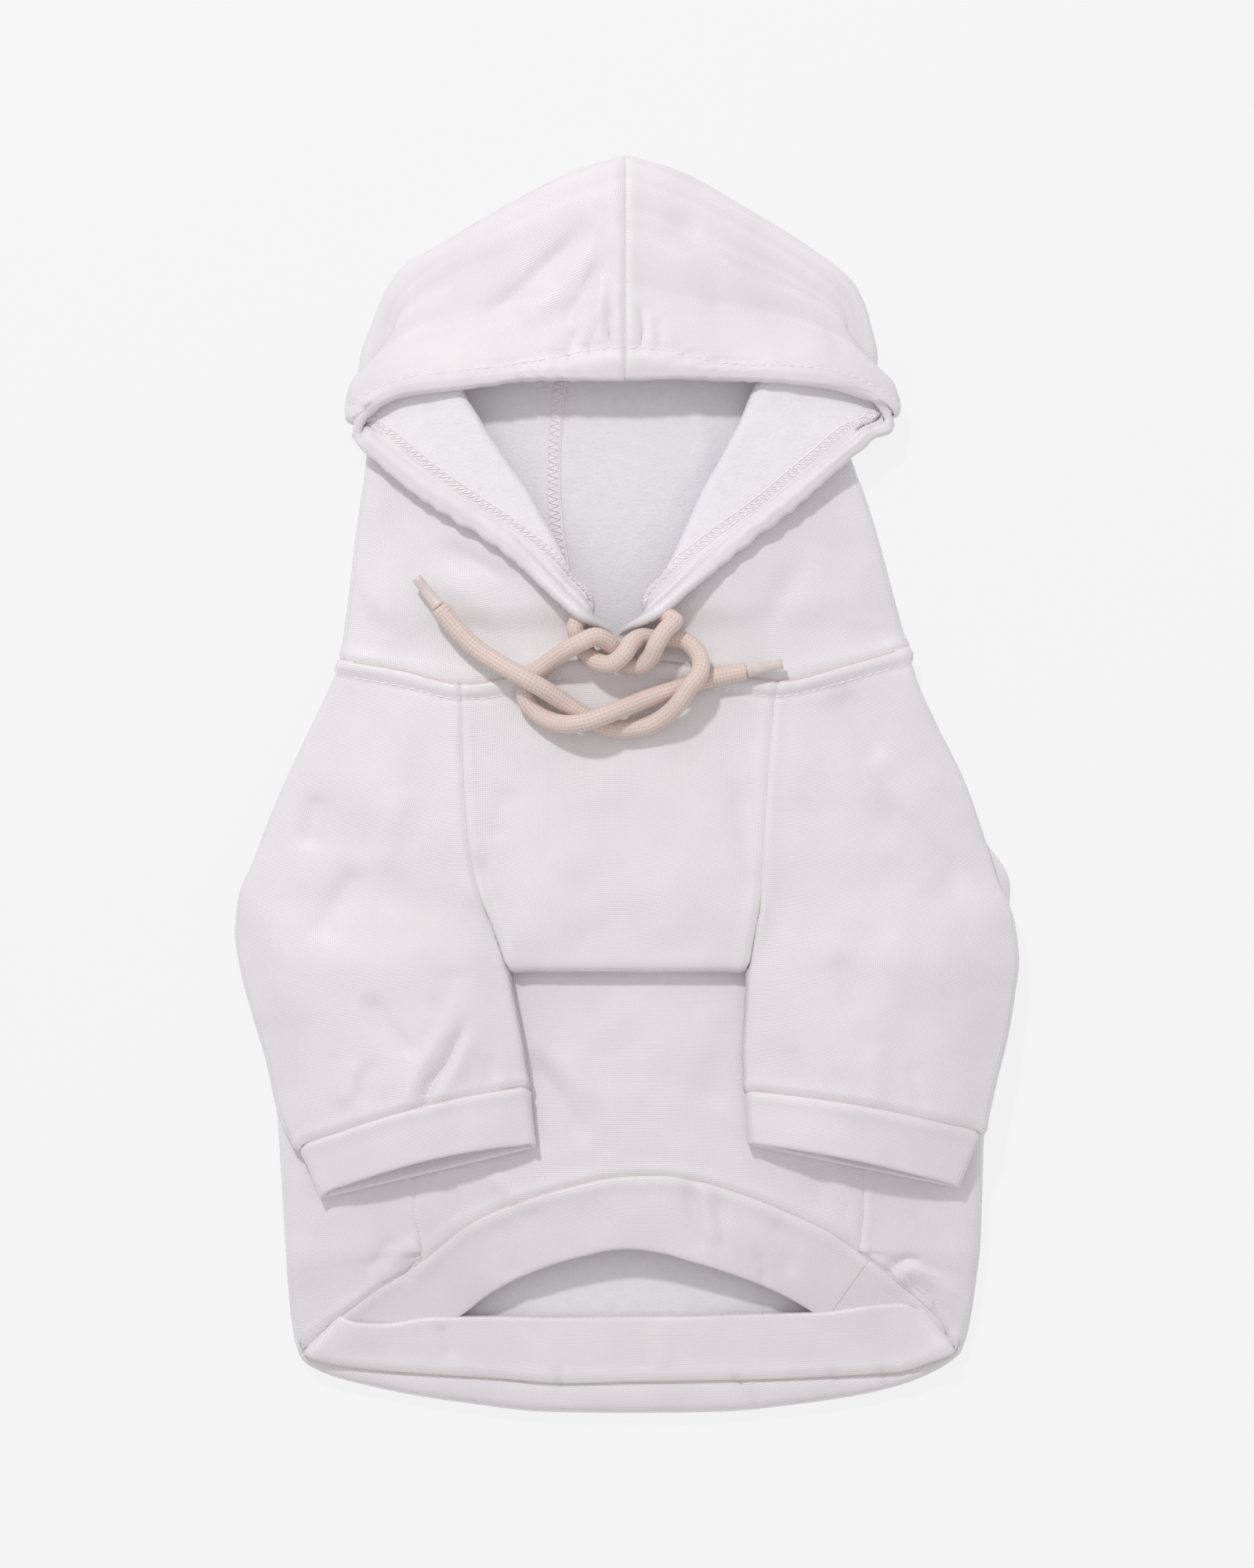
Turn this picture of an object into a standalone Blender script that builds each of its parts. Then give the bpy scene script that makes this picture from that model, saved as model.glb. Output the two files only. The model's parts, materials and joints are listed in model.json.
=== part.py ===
"""Dog hoodie of brushed-back knit, laid on its back with the chest up.

Metres, +Z up, +Y towards the hood. The floor is z = 0. Every cloth piece is a sheet of its own wall thickness,
built from a grid of points on the middle of that wall. A table holds lengths as shares of the named sizes.
"""
import math

import bpy
import bmesh
import numpy as np

# Driving sizes
HOOD_WIDTH = 0.17575       # across the hood at its corners, and the scale of the neck seam
HOOD_LENGTH = 0.1615       # neck seam to crown
BODY_WIDTH = 0.2175        # across the flat body at the hips
BODY_LENGTH = 0.240        # neck seam to the rolled hem
SLEEVE_SPAN = 0.249        # across both sleeves where they are widest
CUFF_DEPTH = 0.018         # cuff seam to cuff mouth
WALL = 0.0016              # one layer of the knit
CASING_WALL = 0.0042       # the turned-in face edge of the hood, with its cord channel
BAND_WALL = 0.0026         # the doubled hem band
CUFF_WALL = 0.0022         # the doubled cuff
SEAM_GAP = 0.0003          # clearance where two pieces meet
NECK_GAP = 0.0006          # the same along the curved front of the neck seam
PLEAT_GAP = 0.0009         # clearance along the raglan seam inside that pleat
PLEAT = 0.0026             # spacing of two layers where cloth folds back on itself
LAPEL_FOLD = 0.0030        # spacing of the layers at the lapel's fold
NECK_HEIGHT = 0.0130       # middle of the cloth at the front of the neck seam
CHEST_HEIGHT = 0.0180      # middle of the cloth on the chest, above its fold
BELLY_HEIGHT = 0.0130      # middle of the cloth on the belly
CROWN_HEIGHT = 0.0150      # middle of the cloth at the forehead edge
SLEEVE_PUFF = 0.0085       # between the two layers of a sleeve, at its middle
SLEEVE_EDGE = 0.0034       # between the two layers of a sleeve, at its folded edges
SIDE_FOLD = 0.0042         # radius of the body's side folds at the hips
HEM_ROLL = 0.0019          # radius of the roll along the back hem
CORD_DIAMETER = 0.0060     # drawstring
AGLET_LENGTH = 0.0115
AGLET_DIAMETER = 0.0044    # at the cord; the tip is narrower
AGLET_TIP = 0.0034

NECK_Y = (BODY_LENGTH - HOOD_LENGTH) / 2
FLOOR = WALL / 2

# The neck seam on the chest side, from left to right: x in half hood widths, down in body lengths
NECK_SEAM = {
    "x": (-1.037, -0.804, -0.605, -0.471, -0.229, -0.030, 0.192, 0.368, 0.542, 0.795, 1.020),
    "down": (0.000, 0.015, 0.032, 0.028, 0.005, 0.000, 0.007, 0.020, 0.029, 0.007, -0.017),
}

# The body's flat outline under the sleeves, and how far its back wraps over to the front.
# down in body lengths, the rest in half body widths; fold is the side fold's radius in SIDE_FOLDs;
# rise is the belly's middle in BELLY_HEIGHTs; curl is how far the wrap's end turns up into the raglan pleat
BODY = {
    "down": (0.000, 0.059, 0.143, 0.226, 0.299, 0.361, 0.414, 0.476, 0.559, 0.622, 0.726, 0.778),
    "left": (-0.829, -0.875, -0.955, -1.024, -1.070, -1.070, -1.059, -1.045, -1.026, -1.013, -0.999, -0.992),
    "right": (0.820, 0.868, 0.953, 1.022, 1.114, 1.109, 1.084, 1.070, 1.052, 1.038, 1.031, 1.026),
    "wrap_left": (-0.780, -0.800, -0.830, -0.760, -0.553, -0.426, -0.461, -0.553, -0.610, -0.629, -0.620, -0.603),
    "wrap_right": (0.770, 0.800, 0.835, 0.746, 0.574, 0.424, 0.459, 0.562, 0.654, 0.691, 0.691, 0.682),
    "fold": (0.24, 0.26, 0.36, 0.46, 0.55, 0.62, 0.68, 0.76, 0.88, 0.96, 1.00, 1.00),
    "rise": (0.55, 0.57, 0.62, 0.70, 0.77, 0.84, 0.88, 0.92, 0.96, 1.00, 1.00, 0.96),
    "curl": (1.0, 1.0, 1.0, 1.0, 1.0, 0.7, 0.0, 0.0, 0.0, 0.0, 0.0, 0.0),
}

# The hem, left to right in half body widths: the arc where the front of the band is sewn on, the seam of its back,
# and the lowest line of the roll below that seam, all in body lengths
HEM_ARC = {
    "x": (-0.957, -0.815, -0.721, -0.594, -0.452, -0.351, -0.183, -0.001, 0.100, 0.210, 0.318, 0.466, 0.576,
          0.679, 0.810, 0.861, 0.971),
    "down": (0.906, 0.858, 0.828, 0.792, 0.742, 0.721, 0.697, 0.681, 0.680, 0.688, 0.702, 0.728, 0.752,
             0.783, 0.828, 0.846, 0.908),
}
HEM_SEAM = {
    "x": (-0.957, -0.923, -0.856, -0.790, -0.587, -0.385, -0.183, -0.001, 0.364, 0.613, 0.797, 0.891, 0.971),
    "down": (0.906, 0.921, 0.933, 0.938, 0.946, 0.952, 0.959, 0.957, 0.954, 0.949, 0.943, 0.928, 0.908),
}
HEM_ROLL_LINE = {
    "x": (-0.978, -0.923, -0.803, -0.654, -0.452, -0.215, -0.001, 0.318, 0.539, 0.686, 0.817, 0.891, 0.957, 0.994),
    "down": (0.910, 0.938, 0.956, 0.972, 0.986, 0.997, 0.998, 0.995, 0.984, 0.973, 0.959, 0.945, 0.925, 0.904),
}
HEM_HEIGHT = {
    "down": (0.68, 0.74, 0.80, 0.86, 0.91, 0.96),
    "fold": (1.00, 1.00, 0.90, 0.72, 0.52, 0.45),
    "rise": (1.00, 0.98, 0.88, 0.70, 0.50, 0.42),
}

# The chest and belly panel through its deep fold: the rows of the chest, then the layer tucked under it with its
# two sides. down in body lengths, the sides in half body widths
CHEST_DOWN = (0.062, 0.111, 0.196, 0.263, 0.309, 0.350, 0.380, 0.397)
TUCK = {
    "down": (0.385, 0.360, 0.340),
    "left": (-0.338, -0.334, -0.330),
    "right": (0.334, 0.330, 0.326),
}
CHEST_FOLD_DOWN = 0.408    # body lengths, as are the next four
TUCK_FOLD_DOWN = 0.326
UNDERARM = 0.361
BELLY_LEVEL = 0.622        # the belly's rows run straight across down to here, then bend towards the hem's arc
BELLY_SIDE_END = 0.790     # where the belly's side edges reach the arc
FOLD_INSET = 0.0012        # the chest's fold, from the sleeves beside it
UNDERARM_TAPER = 0.006     # how much wider the belly may be than its tuck, where the two meet
BELLY_GAP = 0.0004         # along the side seams
BELLY_POWER = 3.0          # how square the belly's cross-section is
CHEST_POWER = 3.2
SHOULDER_RISE = 1.2        # of the folded edge from the neck to the chest, in PLEATs
EDGE_SLOPE = 0.3           # of the cloth just outside the side folds
CHEST_FULL = 0.36          # body lengths down, where the chest has its full height

# The sleeves, from the neck seam to the cuff seam. outer and inner are the two edges of the flat sleeve: flare is
# from the neck's half width (0) to half the span (1), inner is in half body widths, each with its own down in body
# lengths. closed is 0 above the underarm, where the sleeve is open to the body, and 1 on the free tube
SLEEVE_LEFT = {
    "outer_down": (0.000, 0.041, 0.111, 0.193, 0.271, 0.315, 0.361, 0.414, 0.466, 0.525, 0.605, 0.645),
    "flare": (0.000, 0.119, 0.358, 0.627, 0.843, 0.970, 1.000, 0.940, 0.836, 0.709, 0.567, 0.418),
    "inner_down": (0.033, 0.062, 0.111, 0.196, 0.263, 0.309, 0.350, 0.400, 0.436, 0.476, 0.530, 0.564),
    "inner": (-0.486, -0.482, -0.479, -0.470, -0.454, -0.429, -0.390, -0.350, -0.334, -0.316, -0.295, -0.284),
    "closed": (0.0, 0.0, 0.0, 0.0, 0.0, 0.0, 0.5, 1.0, 1.0, 1.0, 1.0, 1.0),
}
SLEEVE_RIGHT = {
    "outer_down": (-0.017, 0.025, 0.081, 0.163, 0.233, 0.290, 0.346, 0.399, 0.440, 0.486, 0.559, 0.625),
    "flare": (0.000, 0.072, 0.239, 0.514, 0.681, 0.804, 0.957, 1.000, 0.964, 0.913, 0.790, 0.688),
    "inner_down": (0.029, 0.060, 0.111, 0.196, 0.263, 0.299, 0.350, 0.400, 0.436, 0.476, 0.518, 0.568),
    "inner": (0.438, 0.428, 0.417, 0.403, 0.394, 0.390, 0.372, 0.353, 0.348, 0.344, 0.339, 0.344),
    "closed": (0.0, 0.0, 0.0, 0.0, 0.0, 0.0, 0.5, 1.0, 1.0, 1.0, 1.0, 1.0),
}
SLEEVE_START = 0.0012       # spacing of a sleeve's first points beside the chest
SLEEVE_POWER = 2.2          # how square a sleeve's cross-section is
CUFF_DROP = {"left": (0.86, 1.02), "right": (0.94, 0.92)}    # depth at the outer and inner edge, in cuff depths
CUFF_DRIFT = {"left": (0.36, 0.11), "right": (-0.39, 0.05)}  # sideways, the same way
CUFF_INSET = (0.0014, 0.0006)  # how far a cuff's seam sits inside the sleeve's outer and inner edge
CUFF_GAP = 0.0005

# The hood's ribs, from the neck seam to the crown. Each runs from the centre seam on the floor (back) out to the
# side fold (side), back over the front to the lapel's fold (fold), out to the casing (casing) and on to the face
# edge (edge); on the crown the last three lie on the flap. x in half hood widths, up in hood lengths
HOOD_LEFT = (
    # back, side x, up, fold x, up, casing x, up, edge x, up
    (0.003, -1.032, 0.000, -0.165, 0.003, -0.105, 0.003, -0.047, 0.000),
    (0.059, -1.020, 0.046, -0.150, 0.052, -0.098, 0.050, -0.047, 0.046),
    (0.113, -1.005, 0.105, -0.124, 0.110, -0.150, 0.101, -0.178, 0.082),
    (0.167, -0.993, 0.156, -0.209, 0.169, -0.244, 0.156, -0.286, 0.132),
    (0.221, -0.982, 0.214, -0.252, 0.221, -0.318, 0.203, -0.388, 0.183),
    (0.276, -0.968, 0.271, -0.303, 0.271, -0.418, 0.265, -0.508, 0.234),
    (0.330, -0.953, 0.327, -0.366, 0.333, -0.532, 0.311, -0.627, 0.274),
    (0.384, -0.940, 0.376, -0.434, 0.385, -0.679, 0.361, -0.755, 0.320),
    (0.438, -0.936, 0.410, -0.499, 0.438, -0.800, 0.407, -0.861, 0.367),
    (0.485, -0.946, 0.438, -0.553, 0.485, -0.890, 0.444, -0.930, 0.401),
    (0.531, -0.957, 0.469, -0.587, 0.515, -0.962, 0.461, -0.985, 0.435),
    (0.577, -0.965, 0.500, -0.613, 0.546, -1.012, 0.485, -0.912, 0.489),
    (0.624, -0.970, 0.539, -0.684, 0.580, -1.002, 0.526, -0.812, 0.517),
    (0.670, -0.958, 0.601, -0.798, 0.624, -0.965, 0.590, -0.670, 0.526),
    (0.717, -0.922, 0.655, -0.840, 0.647, -0.905, 0.636, -0.499, 0.537),
    (0.763, -0.888, 0.704, -0.850, 0.690, -0.795, 0.671, -0.343, 0.548),
    (0.810, -0.820, 0.766, -0.735, 0.738, -0.595, 0.690, -0.229, 0.548),
    (0.856, -0.650, 0.825, -0.570, 0.786, -0.400, 0.714, -0.149, 0.546),
    (0.902, -0.453, 0.888, -0.371, 0.825, -0.201, 0.701, -0.092, 0.546),
    (0.941, -0.170, 0.966, -0.144, 0.887, -0.092, 0.717, -0.047, 0.546),
    (0.970, -0.012, 0.991, -0.012, 0.918, -0.012, 0.717, -0.012, 0.546),
)
HOOD_RIGHT = (
    # back, side x, up, fold x, up, casing x, up, edge x, up
    (0.003, 1.015, 0.024, 0.100, 0.003, 0.030, 0.003, -0.043, 0.000),
    (0.059, 0.990, 0.062, 0.080, 0.054, 0.020, 0.051, -0.043, 0.046),
    (0.113, 0.962, 0.116, 0.061, 0.113, 0.090, 0.101, 0.118, 0.087),
    (0.167, 0.936, 0.170, 0.144, 0.172, 0.196, 0.156, 0.226, 0.135),
    (0.221, 0.911, 0.221, 0.186, 0.221, 0.275, 0.203, 0.334, 0.181),
    (0.276, 0.882, 0.276, 0.232, 0.276, 0.374, 0.255, 0.448, 0.231),
    (0.330, 0.851, 0.327, 0.277, 0.330, 0.500, 0.307, 0.576, 0.283),
    (0.384, 0.820, 0.373, 0.334, 0.385, 0.630, 0.361, 0.698, 0.342),
    (0.438, 0.803, 0.407, 0.385, 0.438, 0.744, 0.410, 0.809, 0.395),
    (0.485, 0.820, 0.438, 0.425, 0.481, 0.846, 0.450, 0.886, 0.430),
    (0.531, 0.842, 0.469, 0.448, 0.512, 0.938, 0.477, 0.960, 0.457),
    (0.577, 0.871, 0.500, 0.477, 0.546, 0.982, 0.497, 0.886, 0.509),
    (0.624, 0.899, 0.539, 0.568, 0.585, 0.966, 0.531, 0.781, 0.528),
    (0.670, 0.899, 0.601, 0.738, 0.624, 0.916, 0.590, 0.653, 0.539),
    (0.717, 0.877, 0.658, 0.795, 0.650, 0.860, 0.640, 0.496, 0.546),
    (0.763, 0.854, 0.701, 0.815, 0.688, 0.760, 0.670, 0.326, 0.548),
    (0.810, 0.818, 0.740, 0.735, 0.718, 0.595, 0.682, 0.212, 0.550),
    (0.856, 0.675, 0.805, 0.590, 0.770, 0.410, 0.704, 0.135, 0.550),
    (0.902, 0.450, 0.882, 0.368, 0.825, 0.169, 0.701, 0.078, 0.548),
    (0.941, 0.166, 0.966, 0.141, 0.887, 0.070, 0.717, 0.027, 0.546),
    (0.970, -0.003, 0.992, -0.008, 0.918, -0.008, 0.717, -0.008, 0.546),
)
# Heights of the same ribs: the side fold's width in PLEATs, how far the lapel is folded out (lapel) and the casing
# turned over (turn), and the middle of the cloth at fold, casing and edge in CROWN_HEIGHTs
HOOD_HEIGHTS = (
    # side, lapel, turn, fold z, casing z, edge z
    (2.46, 0.00, 0.00, 0.79, 0.85, 0.87),
    (2.10, 0.00, 0.00, 0.80, 0.84, 0.88),
    (1.90, 1.00, 0.00, 0.94, 1.34, 1.48),
    (1.75, 1.00, 0.00, 0.90, 1.26, 1.42),
    (1.60, 1.00, 0.00, 0.82, 1.10, 1.20),
    (1.50, 1.00, 0.00, 0.76, 0.98, 1.04),
    (1.40, 1.00, 0.00, 0.70, 0.90, 0.95),
    (1.30, 1.00, 0.00, 0.66, 0.84, 0.88),
    (1.20, 1.00, 0.00, 0.62, 0.76, 0.80),
    (1.10, 1.00, 0.15, 0.58, 0.66, 0.74),
    (1.05, 1.00, 0.50, 0.54, 0.52, 0.74),
    (1.00, 1.00, 1.00, 0.50, 0.46, 0.84),
    (1.00, 1.00, 1.00, 0.44, 0.44, 0.90),
    (1.00, 0.80, 0.90, 0.34, 0.40, 0.95),
    (1.00, 0.40, 0.50, 0.27, 0.36, 0.98),
    (1.10, 0.00, 0.00, 0.32, 0.45, 1.00),
    (1.20, 0.00, 0.00, 0.37, 0.60, 1.00),
    (1.20, 0.00, 0.00, 0.40, 0.70, 1.00),
    (1.20, 0.00, 0.00, 0.48, 0.80, 1.00),
    (1.20, 0.00, 0.00, 0.54, 0.86, 1.00),
    (1.20, 0.00, 0.00, 0.50, 0.86, 1.00),
)

CROWN_SEAM = -0.0075                 # centre seam at the crown, in half hood widths
# The same seam down the back layer, which lies a little askew: up in hood lengths, x in half hood widths
BACK_SEAM = {
    "up": (0.00, 0.18, 0.32, 0.47, 0.56, 0.70, 0.85, 0.97),
    "x": (-0.120, -0.205, -0.238, -0.232, -0.212, -0.140, -0.050, CROWN_SEAM),
}
TIP_SEAM = -0.045                    # the same at the tip of the face opening, above the chest
TIP_RIBS = 2                         # how many ribs from the neck meet at the tip, and have no casing
CASING_PROFILE = (0.15, 0.7, 1.0, 0.75)    # how full the casing is, on its way to the edge
FRONT_POWER = 1.6                    # how early the front rises from the side fold
CREASE_SPREAD = 0.35                 # spacing of points where nothing is folded, in LAPEL_FOLDs
CREASE_STEP = 1.6                    # the next point after them, in spreads
FOLD_ANGLES = tuple(math.radians(a) for a in (45, 90, 135))    # points round a fold

# The hem band, one closed strip: the seam's x, then the free edge's x and down, in half body widths and body
# lengths, and the heights of seam and free edge in BELLY_HEIGHTs
BAND_FRONT = (
    (-0.880, -0.790, 0.900, 0.42, 0.26),
    (-0.815, -0.700, 0.905, 0.52, 0.26),
    (-0.721, -0.600, 0.896, 0.66, 0.28),
    (-0.594, -0.486, 0.868, 0.80, 0.42),
    (-0.452, -0.400, 0.838, 0.93, 0.62),
    (-0.351, -0.316, 0.817, 0.96, 0.72),
    (-0.183, -0.165, 0.792, 0.98, 0.82),
    (-0.001, 0.000, 0.778, 1.00, 0.86),
    (0.100, 0.095, 0.783, 1.00, 0.86),
    (0.210, 0.190, 0.795, 0.98, 0.84),
    (0.318, 0.290, 0.809, 0.97, 0.80),
    (0.466, 0.400, 0.828, 0.93, 0.70),
    (0.576, 0.480, 0.846, 0.88, 0.58),
    (0.679, 0.560, 0.868, 0.80, 0.42),
    (0.810, 0.660, 0.896, 0.60, 0.28),
    (0.900, 0.780, 0.902, 0.46, 0.26),
)
BAND_BACK = (
    (0.891, 0.810, 0.850, 0.54, 0.62),
    (0.797, 0.710, 0.853, 0.46, 0.60),
    (0.613, 0.576, 0.862, 0.42, 0.50),
    (0.364, 0.364, 0.865, 0.40, 0.38),
    (0.180, 0.174, 0.868, 0.40, 0.34),
    (-0.001, 0.000, 0.869, 0.40, 0.33),
    (-0.183, -0.200, 0.870, 0.40, 0.34),
    (-0.385, -0.385, 0.868, 0.40, 0.38),
    (-0.587, -0.570, 0.869, 0.42, 0.50),
    (-0.790, -0.710, 0.877, 0.46, 0.60),
    (-0.870, -0.775, 0.876, 0.54, 0.62),
)
BAND_CORNER_RIGHT = (0.942, 0.862, 0.856)    # seam x, free edge x and down, of the fold at each end of the mouth
BAND_CORNER_LEFT = (-0.927, -0.832, 0.866)
BAND_CORNER_HEIGHT = (0.50, 0.44)            # seam and free edge, in BELLY_HEIGHTs
BAND_SEAT = 0.0008                           # the back of the band, inside the roll
BAND_CORNER_RADIUS = 0.62                    # of the fold, in BAND_WALLs
BAND_CORNER_LIFT = 0.006                     # of the fold above the seam, in body lengths

# The drawstring's two free ends, each from the face edge to its tip: x and up in half hood widths from the neck
# line, and the centre's height in cord diameters above the floor
CORD_LEFT = (
    (-0.186, 0.107, 2.93), (-0.181, 0.087, 2.87), (-0.164, 0.058, 2.85), (-0.138, 0.016, 3.03),
    (-0.104, -0.010, 3.38), (-0.058, -0.016, 3.78), (-0.021, 0.007, 3.97), (0.004, 0.044, 3.78),
    (0.033, 0.075, 3.30), (0.073, 0.081, 2.93), (0.118, 0.075, 2.83), (0.164, 0.078, 2.83),
    (0.203, 0.070, 2.87), (0.243, 0.038, 3.00), (0.266, -0.010, 3.53), (0.255, -0.061, 3.97),
    (0.220, -0.104, 4.02), (0.189, -0.152, 3.87), (0.141, -0.201, 3.40), (0.073, -0.238, 3.05),
    (-0.010, -0.249, 3.03), (-0.078, -0.240, 3.03), (-0.138, -0.212, 3.02), (-0.186, -0.181, 3.02),
    (-0.240, -0.144, 3.27), (-0.297, -0.107, 3.73), (-0.354, -0.075, 3.95), (-0.414, -0.041, 3.77),
    (-0.477, -0.004, 3.27), (-0.536, 0.036, 2.87), (-0.593, 0.087, 2.73), (-0.636, 0.138, 2.63),
    (-0.676, 0.189, 2.57),
)
CORD_RIGHT = (
    (0.169, 0.135, 3.60), (0.147, 0.115, 3.78), (0.121, 0.081, 3.97), (0.098, 0.038, 3.83),
    (0.075, -0.004, 3.43), (0.027, -0.024, 3.03), (-0.018, -0.001, 2.87), (-0.047, 0.036, 3.03),
    (-0.081, 0.070, 3.40), (-0.121, 0.081, 3.78), (-0.164, 0.061, 3.93), (-0.203, 0.041, 3.75),
    (-0.246, 0.013, 3.28), (-0.292, -0.018, 2.92), (-0.331, -0.050, 2.87), (-0.360, -0.084, 2.90),
    (-0.368, -0.127, 2.92), (-0.343, -0.172, 2.95), (-0.292, -0.212, 3.10), (-0.223, -0.232, 3.57),
    (-0.158, -0.226, 4.02), (-0.110, -0.212, 4.12), (-0.058, -0.192, 4.00), (-0.001, -0.169, 3.63),
    (0.061, -0.144, 3.20), (0.127, -0.121, 2.95), (0.192, -0.101, 2.90), (0.255, -0.081, 2.88),
    (0.326, -0.061, 2.88), (0.383, -0.050, 2.88), (0.428, -0.041, 2.88),
)
CORD_POINT_STEP = 0.0048    # between points of the tube
CORD_SIDES = 2              # Blender's bevel resolution for the tube
AGLET_SIDES = 16
AGLET_GAP = 0.0003

KNIT_COLOUR = (0.80, 0.77, 0.78)
CORD_COLOUR = (0.60, 0.47, 0.44)
AGLET_COLOUR = (0.66, 0.55, 0.54)


def clear_scene():
    for old in list(bpy.data.objects):
        bpy.data.objects.remove(old)


def material(name, colour, roughness):
    made = bpy.data.materials.new(name)
    made.use_nodes = True
    shader = made.node_tree.nodes["Principled BSDF"]
    shader.inputs["Base Color"].default_value = (*colour, 1.0)
    shader.inputs["Roughness"].default_value = roughness
    shader.inputs["Metallic"].default_value = 0.0
    made.diffuse_color = (*colour, 1.0)
    return made


def smooth(knots, values, at):
    """A smooth curve through (knots, values), read at one place or many, and held flat past its ends."""
    knots = np.asarray(knots, float)
    values = np.asarray(values, float)
    slopes = np.gradient(values, knots)
    at = np.clip(np.asarray(at, float), knots[0], knots[-1])
    i = np.clip(np.searchsorted(knots, at) - 1, 0, len(knots) - 2)
    span = knots[i + 1] - knots[i]
    t = (at - knots[i]) / span
    return ((2 * t**3 - 3 * t**2 + 1) * values[i] + (t**3 - 2 * t**2 + t) * span * slopes[i]
            + (3 * t**2 - 2 * t**3) * values[i + 1] + (t**3 - t**2) * span * slopes[i + 1])


def body_x(share):
    return share * BODY_WIDTH / 2


def hood_x(share):
    return share * HOOD_WIDTH / 2


def down(share):
    return NECK_Y - share * BODY_LENGTH


def up(share):
    return NECK_Y + share * HOOD_LENGTH


def down_share(y):
    return (NECK_Y - y) / BODY_LENGTH


def neck_seam_y(x):
    return down(smooth(NECK_SEAM["x"], NECK_SEAM["down"], x / (HOOD_WIDTH / 2)))


def hem_arc_down(x):
    """Where the belly ends above the hem band, in body lengths down."""
    return smooth(HEM_ARC["x"], HEM_ARC["down"], x / (BODY_WIDTH / 2)) - SEAM_GAP / BODY_LENGTH


def side_fold(share):
    """The radius of the body's side fold at a place down its length."""
    if share > BODY["down"][-1]:
        return SIDE_FOLD * smooth(HEM_HEIGHT["down"], HEM_HEIGHT["fold"], share)
    return SIDE_FOLD * smooth(BODY["down"], BODY["fold"], share)


def belly_z(x, share):
    """The middle of the body's upper layer. Past the side fold it slopes gently towards the floor."""
    left = body_x(smooth(BODY["down"], BODY["left"], share))
    right = body_x(smooth(BODY["down"], BODY["right"], share))
    edge = FLOOR + 2 * side_fold(share)
    if share > BODY["down"][-1]:
        rise = smooth(HEM_HEIGHT["down"], HEM_HEIGHT["rise"], share)
    else:
        rise = smooth(BODY["down"], BODY["rise"], share)
    s = abs(x / (left if x < 0 else right))
    if s > 1:
        return max(edge - (s - 1) * abs(left) * EDGE_SLOPE, FLOOR + PLEAT)
    return edge + (max(rise * BELLY_HEIGHT, edge) - edge) * (1 - s**BELLY_POWER)


def shoulder_x(side, share):
    """The outer edge of the garment above the underarm, where the sleeve is its outline."""
    rows = SLEEVE_LEFT if side < 0 else SLEEVE_RIGHT
    neck = hood_x(NECK_SEAM["x"][0 if side < 0 else -1])
    return neck + smooth(rows["outer_down"], rows["flare"], share) * (side * SLEEVE_SPAN / 2 - neck)


def chest_z(x, share):
    """The middle of the upper layer above the underarm: chest panel and shoulders, one even dome."""
    side = -1 if x < 0 else 1
    s = min(abs(x / shoulder_x(side, share)), 1.0)
    rise = min(max(share / CHEST_FULL, 0.0), 1.0)
    rise = rise * rise * (3 - 2 * rise)
    crown = NECK_HEIGHT + (CHEST_HEIGHT - NECK_HEIGHT) * rise
    edge = FLOOR + (HOOD_HEIGHTS[0][0] + SHOULDER_RISE * rise) * PLEAT
    return edge + (crown - edge) * (1 - s**CHEST_POWER)


def shell(name, grid, wall, look, ring=False):
    """A closed sheet of cloth round a grid of points [row, column], with wall as its thickness."""
    grid = np.asarray(grid, float)
    rows, columns = grid.shape[:2]
    wall = np.broadcast_to(np.asarray(wall, float), (rows, columns))
    along = np.gradient(grid, axis=0)
    if ring:
        across = (np.roll(grid, -1, axis=1) - np.roll(grid, 1, axis=1)) / 2
    else:
        across = np.gradient(grid, axis=1)
    normal = np.cross(along, across)
    length = np.linalg.norm(normal, axis=2)
    for r, c in np.argwhere(length < 1e-3 * length.mean()):
        # a corner whose two sides run in line takes its neighbour's direction
        normal[r, c] = normal[r, c + 1 if c == 0 else c - 1]
        length[r, c] = np.linalg.norm(normal[r, c])
    normal /= length[..., None]
    half = wall[..., None] / 2
    mesh = bmesh.new()
    upper = [[mesh.verts.new(p) for p in row] for row in grid + normal * half]
    lower = [[mesh.verts.new(p) for p in row] for row in grid - normal * half]
    last = columns if ring else columns - 1
    for r in range(rows - 1):
        for c in range(last):
            d = (c + 1) % columns
            mesh.faces.new((upper[r][c], upper[r][d], upper[r + 1][d], upper[r + 1][c]))
            mesh.faces.new((lower[r][c], lower[r + 1][c], lower[r + 1][d], lower[r][d]))
    for r in (0, rows - 1):
        for c in range(last):
            d = (c + 1) % columns
            mesh.faces.new((upper[r][c], lower[r][c], lower[r][d], upper[r][d]))
    if not ring:
        for c in (0, columns - 1):
            for r in range(rows - 1):
                mesh.faces.new((upper[r][c], upper[r + 1][c], lower[r + 1][c], lower[r][c]))
    bmesh.ops.recalc_face_normals(mesh, faces=mesh.faces)
    data = bpy.data.meshes.new(name)
    mesh.to_mesh(data)
    mesh.free()
    data.materials.append(look)
    data.shade_smooth()
    made = bpy.data.objects.new(name, data)
    bpy.context.collection.objects.link(made)
    return made


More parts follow.
